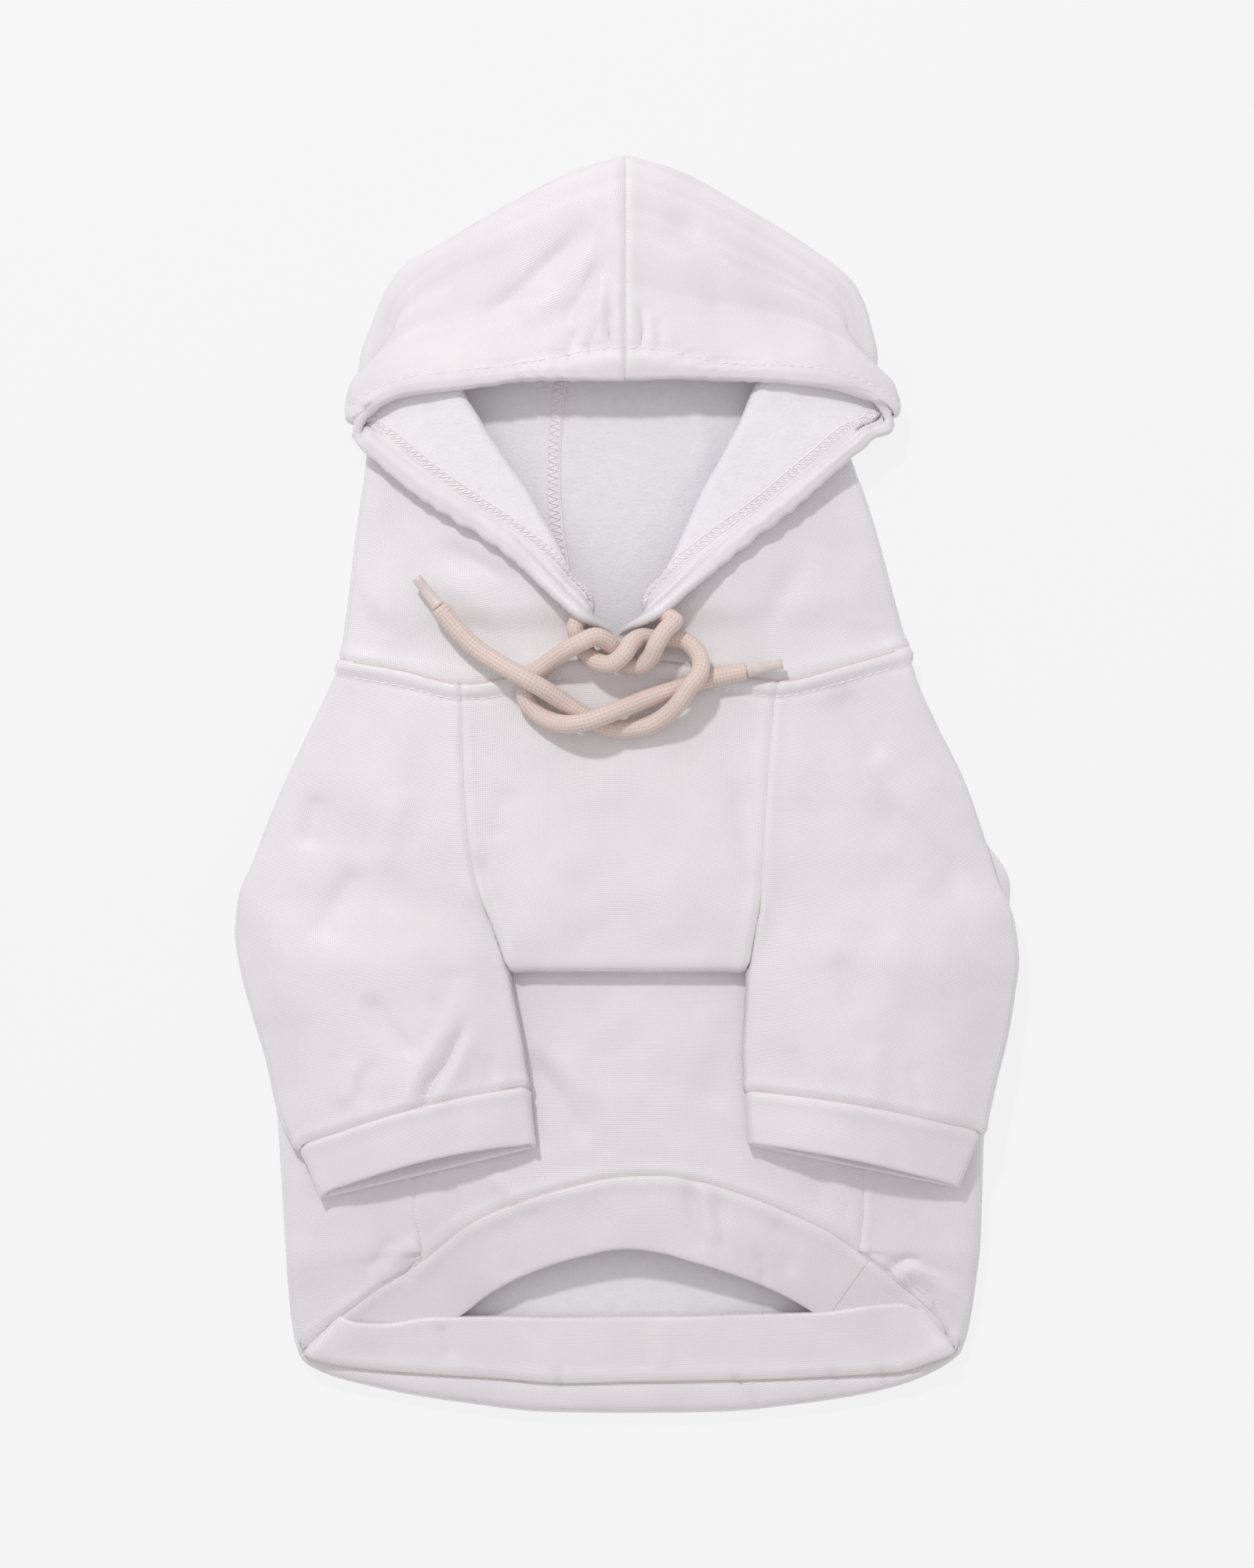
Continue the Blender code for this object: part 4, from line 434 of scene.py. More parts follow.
# Soft folds, by the lowest z that they move: height, half width and the line in plan from the centre, all
# in mm
FOLDS = {
    -1.0: (
        (0.8, 3.4, ((21, 125), (25, 110), (24, 95))),
        (0.6, 3.0, ((34, 125), (35, 113), (32, 100))),
    ),
    1.0: (
        (-1.1, 1.5, ((33, -186), (37, -193), (43, -199))),
        (-0.9, 1.3, ((65, -185), (67, -191), (68, -195))),
        (-0.9, 1.3, ((81, -184), (82, -189), (83, -193))),
        (0.7, 1.4, ((85, -183), (88, -188), (91, -191))),
        (-0.9, 1.5, ((-22, -185), (-21, -192), (-20, -197))),
    ),
    1.5: (
        (1.7, 1.7, ((85, -160), (87, -157), (91, -154), (98, -157), (107, -165))),
        (-1.2, 1.6, ((81, -157), (84, -153), (89, -150), (95, -151))),
        (-1.2, 1.4, ((87, -162), (91, -159), (96, -162), (101, -172), (106, -176))),
        (-0.8, 1.2, ((96, -166), (100, -172), (103, -176))),
        (1.5, 2.6, ((-79, -158), (-74, -151), (-69, -147), (-64, -145))),
        (-1.2, 1.5, ((-72, -159), (-69, -155), (-68, -151), (-66, -147))),
        (-0.8, 2.2, ((-83, -155), (-78, -149), (-73, -143))),
    ),
    2.5: (
        (-0.9, 2.0, ((-60, -170), (-57, -178), (-56, -184))),
        (0.7, 2.6, ((10, -170), (11, -178), (12, -187))),
    ),
    3.0: (
        (-0.8, 1.6, ((41, -147), (43, -155), (42, -161))),
    ),
    3.5: (
        (-1.0, 3.0, ((46, -136), (51, -146), (52, -157))),
        (-0.8, 2.6, ((-40, -136), (-36, -147), (-35, -160))),
    ),
    4.0: (
        (-1.2, 2.4, ((19, -125), (21, -134), (23, -143), (24, -150))),
        (0.8, 2.4, ((24, -127), (26, -137), (28, -147))),
        (-0.8, 2.4, ((28, -128), (29, -138), (31, -150))),
        (-0.7, 1.1, ((-89, 121), (-86, 120), (-82, 119), (-79, 118))),
        (-0.7, 1.1, ((-87, 108), (-86, 110), (-82, 114), (-80, 116))),
        (-0.5, 1.0, ((-80, 107), (-78, 110), (-76, 113))),
        (-0.6, 1.1, ((74, 122), (78, 120), (83, 118))),
        (-0.6, 1.1, ((73, 116), (77, 115), (81, 111))),
    ),
    5.0: (
        (-1.1, 2.6, ((-60, -122), (-57, -127), (-54, -135), (-52, -140))),
        (1.0, 2.8, ((-45, -122), (-40, -126), (-34, -131), (-28, -135))),
        (-1.5, 3.0, ((-14, 180), (-18, 171), (-24, 166), (-32, 158), (-40, 152), (-50, 147))),
        (0.9, 3.0, ((-10, 175), (-13, 165), (-20, 157), (-28, 150), (-35, 145))),
        (-0.9, 2.0, ((-9, 168), (-11, 160), (-16, 152), (-21, 144))),
        (0.6, 1.8, ((-7, 163), (-8, 154), (-10, 145), (-11, 138))),
        (-1.0, 1.5, ((-5, 152), (-6, 144), (-5, 137))),
        (-0.9, 1.5, ((-9, 149), (-11, 141), (-13, 134))),
        (-0.7, 1.5, ((-16, 145), (-18, 138), (-20, 133))),
        (-1.0, 1.6, ((4, 152), (5, 144), (4, 136))),
        (-0.6, 1.6, ((9, 148), (10, 141), (10, 135))),
        (0.8, 5.0, ((20, 178), (35, 165), (46, 150))),
        (-0.9, 5.0, ((12, 183), (22, 168), (31, 150), (32, 143))),
        (-0.9, 3.4, ((57, 160), (64, 148), (67, 137), (68, 130))),
        (-1.2, 2.6, ((-90, 65), (-86, 61), (-80, 51), (-77, 45))),
        (0.7, 3.0, ((-85, 68), (-80, 60), (-74, 50))),
        (-0.8, 2.8, ((80, 75), (81, 63), (80, 50))),
        (0.6, 2.4, ((85, 70), (87, 58), (86, 47))),
    ),
    7.0: (
        (-0.8, 3.4, ((60, -117), (61, -127), (64, -136))),
        (0.6, 3.4, ((67, -116), (67, -126), (69, -135))),
    ),
    8.0: (
        (-1.4, 3.4, ((-31, -83), (-28, -90), (-21, -100), (-15, -110), (-11, -116))),
        (-0.7, 3.2, ((-13, -97), (-11, -102), (-7, -113), (-5, -120))),
        (0.6, 4.5, ((-22, -82), (-16, -93), (-9, -106))),
        (-0.6, 5.0, ((32, -72), (29, -87), (24, -105))),
        (-1.6, 3.2, ((-68, 83), (-62, 78), (-50, 71), (-38, 65), (-26, 55), (-21, 49))),
        (1.1, 4.0, ((-63, 68), (-50, 60), (-40, 53), (-30, 45))),
        (-1.0, 3.0, ((-51, 53), (-40, 46), (-31, 40))),
        (-1.3, 3.8, ((62, 78), (54, 67), (47, 57), (42, 47))),
        (1.0, 4.2, ((71, 70), (65, 59), (61, 47))),
    ),
    8.5: (
        (-1.2, 4.2, ((-98, -2), (-99, -12), (-101, -22))),
        (-1.3, 4.2, ((-83, -25), (-88, -32), (-95, -44), (-98, -51))),
        (0.6, 4.5, ((-70, 0), (-75, -15), (-78, -30))),
        (-1.4, 5.0, ((64, 30), (71, 24), (77, 13), (80, 4))),
        (-1.5, 4.4, ((77, -2), (84, -10), (101, -26), (107, -39))),
        (0.6, 4.5, ((80, -15), (90, -25), (96, -37))),
    ),
    9.5: (
        (-0.8, 4.5, ((66, -53), (71, -64), (72, -75))),
        (-0.7, 2.4, ((93, -105), (91, -96), (89, -87))),
        (0.5, 3.0, ((80, -102), (79, -92), (77, -82))),
        (-0.5, 2.4, ((52, -97), (53, -90), (52, -82))),
    ),
    10.0: (
        (-1.4, 3.4, ((-48, -20), (-46, -28), (-43, -36), (-41, -50), (-40, -57))),
        (-0.7, 4.0, ((-36, 0), (-40, -10), (-42, -20))),
        (-1.2, 4.4, ((35, 3), (37, -9), (40, -27), (41, -40))),
        (0.5, 7.0, ((20, -20), (15, -37), (12, -53))),
        (-0.4, 6.0, ((-15, -25), (-10, -40), (-9, -53))),
    ),
    10.5: (
        (-2.0, 1.2, ((-66, -106), (-64, -100), (-62, -94), (-57, -88), (-53, -79), (-51, -72))),
        (1.2, 2.2, ((-71, -105), (-68, -97), (-65, -90), (-60, -82), (-56, -74))),
        (0.9, 2.2, ((-60, -103), (-57, -96), (-52, -88), (-48, -77))),
        (-1.3, 3.0, ((-83, -65), (-77, -75), (-70, -83), (-66, -88))),
        (0.7, 2.2, ((-90, -102), (-88, -95), (-86, -86))),
        (-0.7, 2.2, ((-84, -102), (-82, -93), (-80, -86))),
        (-0.7, 4.0, ((-55, -57), (-57, -66), (-61, -75))),
        (-0.6, 2.0, ((-44, -98), (-43, -92), (-44, -85))),
    ),
}
FOLD_DEPTH = 3.0           # mm above a fold's lowest z where it has its full height
FOLD_END = 0.25            # share of its length over which each end fades
UNEVEN = 0.22              # mm, how much the cloth lies unevenly, from which height up, and over what rise
UNEVEN_FROM = 3.0
UNEVEN_RISE = 8.0
SLOW_WAVES = (17.0, 23.0, 21.0, 29.0)    # mm, wavelengths over 2 pi
QUICK_WAVES = (8.3, 11.9, 14.0)
KNOT_AT = (-0.005, 0.036)      # the cloth under the knot stays as it is
KNOT_REACH = (0.030, 0.055)

# Colours as linear light
KNIT_FACE = (0.804, 0.776, 0.798)
FLEECE = (0.875, 0.863, 0.887)
CORD_FACE = (0.755, 0.612, 0.555)
TIP_FACE = (0.760, 0.655, 0.625)
THREAD_FACE = (0.960, 0.930, 0.930)
# thread in the closed seams: its colour plus the painted shade of the seam's groove, darker and warmer than
# the knit
SEAM_THREAD_AND_SHADE = (0.720, 0.620, 0.605)
SHEEN_ROUGHNESS = 0.45
WALE = 0.00071              # spacing of the knit's columns and of its courses
COURSE = 0.00062
KNIT_RELIEF = 0.00028
BLOTCH = 0.021              # size of the knit's lighter and darker places
SLACK = 0.0026              # depth and size of the knit's slow unevenness
SLACK_PERIOD = 0.030
PILE = 0.0008               # size of the fleece's tufts and of its clumps
PILE_CLUMP = 0.0045
PILE_RELIEF = 0.0008
YARN_FIBRE = 0.0005
YARN_RELIEF = 0.0002

# Stage
FLOOR_HALF = 3.0
FLOOR_DROP = 0.0004
FLOOR_DIFFUSE = 0.10
FLOOR_EMISSION = 0.815
KEY_SIZE = 0.16
KEY_POWER = 18.0
KEY_PLACE = (-0.55, 1.35, 1.55)
ROOM_COLOUR = (1.0, 0.985, 0.99)
ROOM_LIGHT = 0.66
CAMERA_HEIGHT = 1.9
FRAME_TALL = 0.500
SENSOR = 36.0               # mm
VIEW_END = 20.0


def hermite(t, span, start, end, slope, end_slope):
    """A smooth curve between two points, at the share t of the span between them."""
    return ((2 * t**3 - 3 * t**2 + 1) * start + (t**3 - 2 * t**2 + t) * span * slope
            + (3 * t**2 - 2 * t**3) * end + (t**3 - t**2) * span * end_slope)


def smooth(knots, values, at):
    """A smooth curve through (knots, values), read at one place or many, and held flat past its ends."""
    knots = np.asarray(knots, float)
    values = np.asarray(values, float)
    slopes = np.gradient(values, knots)
    at = np.clip(np.asarray(at, float), knots[0], knots[-1])
    i = np.clip(np.searchsorted(knots, at) - 1, 0, len(knots) - 2)
    span = knots[i + 1] - knots[i]
    t = (at - knots[i]) / span
    return hermite(t, span, values[i], values[i + 1], slopes[i], slopes[i + 1])


def body_x(share):
    """Metres from half body widths."""
    return share * BODY_WIDTH / 2


def hood_x(share):
    """Metres from half hood widths."""
    return share * HOOD_WIDTH / 2


def down(share):
    """y from body lengths below the neck line."""
    return NECK_Y - share * BODY_LENGTH


def up(share):
    """y from hood lengths above the neck line."""
    return NECK_Y + share * HOOD_LENGTH


def down_share(y):
    """Body lengths below the neck line from y."""
    return (NECK_Y - y) / BODY_LENGTH


def body_at(key, share):
    """A column of BODY, read at a place down the body."""
    return smooth(BODY["down"], BODY[key], share)


def hem_at(line, x):
    """How far down one of the hem's lines is, at x in half body widths."""
    return smooth(line["x"], line["down"], x)


def neck_seam_y(x):
    """The neck seam in plan, on the chest side."""
    return down(smooth(NECK_SEAM["x"], NECK_SEAM["down"], x / (HOOD_WIDTH / 2)))


def hem_arc_down(x):
    """Where the belly ends above the hem band, in body lengths down."""
    return hem_at(HEM_ARC, x / (BODY_WIDTH / 2)) - SEAM_GAP / BODY_LENGTH


def side_fold(share):
    """The radius of the body's side fold at a place down its length."""
    if share > BODY["down"][-1]:
        return SIDE_FOLD * smooth(HEM_HEIGHT["down"], HEM_HEIGHT["fold"], share)
    return SIDE_FOLD * body_at("fold", share)


def belly_z(x, share):
    """The middle of the body's upper layer. Past the side fold it slopes gently towards the floor."""
    left = body_x(body_at("left", share))
    right = body_x(body_at("right", share))
    edge = FLOOR + 2 * side_fold(share)
    if share > BODY["down"][-1]:
        rise = smooth(HEM_HEIGHT["down"], HEM_HEIGHT["rise"], share)
    else:
        rise = body_at("rise", share)
    s = abs(x / (left if x < 0 else right))
    if s > 1:
        return max(edge - (s - 1) * abs(left) * EDGE_SLOPE, FLOOR + PLEAT)
    return edge + (max(rise * BELLY_HEIGHT, edge) - edge) * (1 - s**BELLY_POWER)


def shoulder_x(side, share):
    """The outer edge of the garment above the underarm, where the sleeve is its outline."""
    rows = SLEEVE_LEFT if side < 0 else SLEEVE_RIGHT
    neck = hood_x(NECK_SEAM["x"][0 if side < 0 else -1])
    return neck + smooth(rows["outer_down"], rows["flare"], share) * (side * SLEEVE_SPAN / 2 - neck)


def chest_z(x, share):
    """The middle of the upper layer above the underarm: chest panel and shoulders, one even dome."""
    side = -1 if x < 0 else 1
    s = min(abs(x / shoulder_x(side, share)), 1.0)
    rise = min(max(share / CHEST_FULL, 0.0), 1.0)
    rise = rise * rise * (3 - 2 * rise)
    crown = NECK_HEIGHT + (CHEST_HEIGHT - NECK_HEIGHT) * rise
    edge = FLOOR + (HOOD_HEIGHTS[0][0] + SHOULDER_RISE * rise) * PLEAT
    return edge + (crown - edge) * (1 - s**CHEST_POWER)


def slopes(points, run):
    """Slopes for a smooth line through points [..., n, k] at run [..., n] that never overshoots them."""
    step = np.maximum(np.diff(run, axis=-1), 1e-7)[..., None]
    rise = np.diff(points, axis=-2) / step
    before, after = rise[..., :-1, :], rise[..., 1:, :]
    first, second = step[..., :-1, :], step[..., 1:, :]
    same = before * after > 0
    w1, w2 = 2 * second + first, second + 2 * first
    mean = (w1 + w2) / (w1 / np.where(same, before, 1.0) + w2 / np.where(same, after, 1.0))
    return np.concatenate((rise[..., :1, :], np.where(same, mean, 0.0), rise[..., -1:, :]), axis=-2)


def refine(points, ring=False):
    """Adds points between the columns of a grid [row, column, x y z wall], on smooth lines."""
    if ring:
        points = np.concatenate((points[:, -2:], points, points[:, :3]), axis=1)
    length = np.linalg.norm(np.diff(points[..., :3], axis=1), axis=2)
    run = np.concatenate((np.zeros((len(points), 1)), np.cumsum(length, axis=1)), axis=1)
    slope = slopes(points, run)
    first, last = (2, points.shape[1] - 3) if ring else (0, points.shape[1] - 1)
    columns = []
    for c in range(first, last):
        steps = int(np.clip(round(length[:, c].mean() / PITCH), 1, MOST_STEPS))
        ends = (length[:, c, None], points[:, c], points[:, c + 1], slope[:, c], slope[:, c + 1])
        columns += [hermite(k / steps, *ends) for k in range(steps)]
    if not ring:
        columns.append(points[:, last])
    return np.stack(columns, axis=1)


def away_from(line, x, y):
    """Distance in plan from a line of points, and how far along it, from 0 to 1."""
    best = np.full(x.shape, np.inf)
    along = np.zeros(x.shape)
    line = np.array(line)
    parts = np.linalg.norm(np.diff(line, axis=0), axis=1)
    done = 0.0
    for (ax, ay), (bx, by), part in zip(line, line[1:], parts):
        dx, dy = (bx - ax) / part, (by - ay) / part
        t = np.clip((x - ax) * dx + (y - ay) * dy, 0, part)
        off = np.hypot(x - ax - t * dx, y - ay - t * dy)
        near = off < best
        best = np.where(near, off, best)
        along = np.where(near, (done + t) / parts.sum(), along)
        done += part
    return best, along


def eased(t):
    """From 0 to 1 with a gentle start and end."""
    t = np.clip(t, 0, 1)
    return t * t * (3 - 2 * t)


def unevenness(x, y):
    """The cloth's slow waves at places in mm, round 0."""
    a, b, c, d = SLOW_WAVES
    e, f, g = QUICK_WAVES
    slow = np.sin(x / a + 1.3 * np.sin(y / b)) * np.cos(y / c + 0.9 * np.sin(x / d))
    return slow + 0.6 * np.sin(x / e + y / f + 1.1 * np.sin(y / g))


def folded(points):
    """Moves points up or down by the soft folds, the same way for every layer above a fold's lowest z."""
    x, y, z = points[..., 0] * 1000, points[..., 1] * 1000, points[..., 2] * 1000
    lift = np.zeros(x.shape)
    for lowest, folds in FOLDS.items():
        above = eased((z - lowest) / FOLD_DEPTH)
        for height, width, line in folds:
            off, along = away_from(line, x, y)
            ends = eased(along / FOLD_END) * eased((1 - along) / FOLD_END)
            lift += height * np.exp(-(off / width)**2) * ends * above
    lift += UNEVEN * unevenness(x, y) * eased((z - UNEVEN_FROM) / UNEVEN_RISE)
    far = np.hypot(points[..., 0] - KNOT_AT[0], points[..., 1] - KNOT_AT[1])
    lift *= eased((far - KNOT_REACH[0]) / (KNOT_REACH[1] - KNOT_REACH[0]))
    moved = points.copy()
    moved[..., 2] += lift / 1000
    return moved


def normals(grid, ring):
    """The direction out of the cloth at each point of a grid."""
    along = np.gradient(grid, axis=0)
    if ring:
        across = (np.roll(grid, -1, axis=1) - np.roll(grid, 1, axis=1)) / 2
    else:
        across = np.gradient(grid, axis=1)
    normal = np.cross(along, across)
    length = np.linalg.norm(normal, axis=2)
    for r, c in np.argwhere(length < 1e-3 * length.mean()):
        normal[r, c] = normal[r, c + 1 if c == 0 else c - 1]
        length[r, c] = max(np.linalg.norm(normal[r, c]), 1e-12)
    return normal / length[..., None]


def relaxed(points, share):
    """Evens out the cloth where share is above 0. Its edges stay."""
    points = points.copy()
    last_share = share[-1, 1:-1, None] * 0.5
    share = share[1:-1, 1:-1, None] * 0.5
    for _ in range(CROWN_ROUNDS):
        inner = points[1:-1, 1:-1]
        mean = (points[:-2, 1:-1] + points[2:, 1:-1] + points[1:-1, :-2] + points[1:-1, 2:]) / 4
        points[1:-1, 1:-1] = inner + (mean - inner) * share
        points[-1, 1:-1] += ((points[-1, :-2] + points[-1, 2:]) / 2 - points[-1, 1:-1]) * last_share
    return points


def bowed(name, points, row, column):
    """The upper side of a sleeve's end and of its cuff, drawn up in the middle."""
    at_seam, at_mouth = CUFF_BOW[name.split("_")[1]]
    if name.startswith("cuff"):
        start, width = CUFF_TOP
        amount = at_seam + (at_mouth - at_seam) * row / CUFF_ROWS
    else:
        start, width = SLEEVE_TOP
        amount = at_seam * eased((row - SLEEVE_BOW[0]) / SLEEVE_BOW[1])
    across = np.clip((column - start) / width, 0, 1)
    points = points.copy()
    points[..., 1] += amount * np.sin(np.pi * across)
    return points


def met_at_neck(name, points, column, far):
    """Brings the upper layer's first row onto the neck seam's own curve, and the cloth near it along."""
    first, last, side = NECK_COLUMNS[name]
    share = eased(column - first + 1) * eased(last + 1 - column)
    x = points[0, :, 0]
    y = neck_seam_y(x) + side * NECK_MEET
    z = np.array([chest_z(v, 0.0) for v in x])
    points = points.copy()
    fade = np.exp(-(far / NECK_FADE)**2)
    points[..., 1] += share * (y - points[0, :, 1]) * fade
    points[..., 2] += share * (z - points[0, :, 2]) * fade
    return points


def unit(v):
    """Vectors of length 1 in the same directions."""
    return v / np.maximum(np.linalg.norm(v, axis=-1, keepdims=True), 1e-9)


def distances(grid):
    """How far each point is from the first and last row and the first and last column, along the cloth."""
    rows = np.linalg.norm(np.diff(grid, axis=0), axis=2)
    first = np.concatenate((np.zeros((1, grid.shape[1])), np.cumsum(rows, axis=0)))
    columns = np.linalg.norm(np.diff(grid, axis=1), axis=2)
    start = np.concatenate((np.zeros((len(grid), 1)), np.cumsum(columns, axis=1)), axis=1)
    return {"first": first, "last": first[-1] - first, "start": start, "stop": start[:, -1:] - start}


def puff(distance):
    """Cloth beside a seam: pulled down at the seam, and full next to it."""
    t = distance / SEAM_PUFF_AT
    return SEAM_PUFF * (2.0 * t * np.exp(1 - t) - 1.0) * np.exp(-(distance / SEAM_PUFF_END)**2)


def gathered(along):
    """How full the channel is along its length, round 1."""
    pitch, drift, swell = GATHER_PERIODS
    return 1 + GATHER * np.sin(along / pitch + 2.0 * np.sin(along / drift)) * np.sin(along / swell + 0.6)


def casing(distance, along):
    """The cord's channel along the face edge: full, gathered, and closed by a line of stitches."""
    gathers = gathered(along)
    past = distance - CASING_STITCH
    roll = np.where(past < 0, np.sin(np.pi * np.clip(distance / CASING_STITCH, 0, 1)), 0.0)
    dip = np.exp(-(past / CASING_DIP_WIDTH)**2)
    beyond = np.where(past >= 0, (gathers - 1) * np.exp(-past / GATHER_FADE), 0.0)
    return CASING_ROLL * roll * gathers - CASING_DIP * dip + GATHER_BEYOND * beyond


def welt(distance):
    """The padded seam allowance on the body's side of the neck seam, and the dip of its stitching."""
    arch = np.sin(np.pi * (distance + WELT_START) / (WELT_WIDTH + WELT_START))
    bump = np.where(distance < WELT_WIDTH, arch, 0.0)
    dip = np.exp(-((distance - WELT_WIDTH) / WELT_DIP_WIDTH)**2)
    return WELT_HEIGHT * np.maximum(bump, 0) - WELT_DIP * dip


# What each piece of cloth has: whether its grid's upper side is the outside, and its sewn edges with how
# far each is drawn past the solid's edge to meet its neighbour, in metres
CLOTH = {
    "hood_left": (False, {"first": 0.0005, "start": 0.00025, "last": 0.0007}),
    "hood_right": (True, {"first": 0.0005, "start": 0.00025, "last": 0.0007}),
    "back_panel": (False, {"first": 0.0005, "start": 0.0004, "stop": 0.0004, "last": 0.0009}),
    "belly_panel": (True, {"first": 0.0006, "start": 0.0007, "stop": 0.0007, "last": 0.0005}),
    "sleeve_left": (False, {"first": 0.0006, "start": 0.0005, "stop": 0.0004, "last": 0.0005}),
    "sleeve_right": (True, {"first": 0.0006, "start": 0.0005, "stop": 0.0004, "last": 0.0005}),
    "cuff_left": (False, {"first": 0.0004}),
    "cuff_right": (True, {"first": 0.0004}),
    "hem_band": (True, {"first": 0.0008}),
}
# Columns of the upper layer along the neck seam, and whether the piece is above (1) or below (-1) the seam
NECK_COLUMNS = {
    "hood_left": (8, 26, 1),
    "hood_right": (8, 26, 1),
    "belly_panel": (0, 10, -1),
    "sleeve_left": (0, 8, -1),
    "sleeve_right": (0, 8, -1),
}
# At the hips, where band and body part, both edges are drawn further past the seam
HIP_EDGES = (("hem_band", "first"), ("back_panel", "last"))
HIP_AT = (0.1019, -0.1762)
HIP_REACH = 0.0018
HIP_SPREAD = 0.006
NECK_MEET = 0.0002
NECK_FADE = 0.009
NECK_BODY = ("belly_panel", "sleeve_left", "sleeve_right")    # pieces with the welt along their first edge
# Seams whose thread shows: piece, edge, and the part of the edge's length
SEAMS = (
    ("belly_panel", "first", None),
    ("sleeve_left", "first", (0.0, 0.5)),
    ("sleeve_right", "first", (0.0, 0.5)),
    ("belly_panel", "start", None),
    ("belly_panel", "stop", None),
    ("hood_left", "start", None),
    ("hood_left", "last", None),
    ("hem_band", "first", None),
    ("cuff_left", "first", None),
    ("cuff_right", "first", None),
)
HOOD = ("hood_left", "hood_right")
# The edges of a grid [row, column], and the rows and columns next to them
EDGES = {"first": np.s_[0, :], "last": np.s_[-1, :], "start": np.s_[:, 0], "stop": np.s_[:, -1]}
BESIDE = {"first": np.s_[1, :], "last": np.s_[-2, :], "start": np.s_[:, 1], "stop": np.s_[:, -2]}
drawn = {}


def fine(grid, wall, ring):
    """A coarse grid with finer points: their places, wall, and row and column in the coarse grid."""
    row, column = np.indices(wall.shape)
    points = refine(np.concatenate((grid, np.stack((wall, row, column), axis=-1)), axis=2), ring)
    points = np.transpose(refine(np.transpose(points, (1, 0, 2))), (1, 0, 2))
    return points[..., :3], points[..., 3], points[..., 4], points[..., 5]


def sewn_edges(name, middle, wall, far):
    """Draws sewn edges on to meet their neighbours. Gives each edge's rounding and the relief beside it."""
    pull = np.minimum(RIM_SHARE * wall, RIM_ROUND)
    relief = 0
    for edge, reach in CLOTH[name][1].items():
        at = middle[EDGES[edge]]
        if (name, edge) in HIP_EDGES:
            hip = np.hypot(np.abs(at[:, 0]) - HIP_AT[0], at[:, 1] - HIP_AT[1])
            reach = reach + HIP_REACH * np.exp(-(hip / HIP_SPREAD)**2)[:, None]
        middle[EDGES[edge]] += unit(at - middle[BESIDE[edge]]) * reach
        pull[EDGES[edge]] = SEAM_ROUND
        profile = welt if edge == "first" and name in NECK_BODY else puff
        relief = relief + profile(far[edge])
    return pull, relief


def face_edge(middle, far, row):
    """Scallops the hood's face edge, and gives the relief of its channel on the outside and the inside."""
    corner = np.exp(-((row - CORNER_ROW) / CORNER_ROWS)**2)
    fullness = gathered(far["first"][:, -1:]) - 1
    scallop = SCALLOP * fullness * np.exp(-far["stop"] / GATHER_FADE) * (1 - corner)
    middle += unit(middle[:, -1:] - middle[:, -2:-1]) * (scallop * eased((row - TIP_RIBS) / 2))[..., None]
    channel = casing(far["stop"], far["first"]) * eased((row - CHANNEL_ROW) / CHANNEL_ROW)
    return channel * (1 - CORNER_EVEN * corner), CHANNEL_INSIDE * channel * (1 - corner)


def give_way(middle, far, pull, ring):
    """How far the cloth beside its edges moves in, so that the edges are round."""
    shift = np.zeros_like(middle)
    for edge in ("first", "last") if ring else EDGES:
        axis = 0 if edge in ("first", "last") else 1
        out = np.expand_dims(unit(middle[EDGES[edge]] - middle[BESIDE[edge]]), axis)
        width = np.expand_dims(pull[EDGES[edge]], axis)
        share = np.clip(1 - far[edge] / (RIM_SPREAD * width), 0, 1)
        shift -= out * (width * share)[..., None]
    return shift


def edge_loops(rows, columns, ring):
    """The edges of a grid as closed loops of (row, column)."""
    if ring:
        return [[(r, c) for c in range(columns)] for r in (0, rows - 1)]
    return [[(0, c) for c in range(columns)] + [(r, columns - 1) for r in range(1, rows)]
            + [(rows - 1, c) for c in range(columns - 2, -1, -1)] + [(r, 0) for r in range(rows - 2, 0, -1)]]


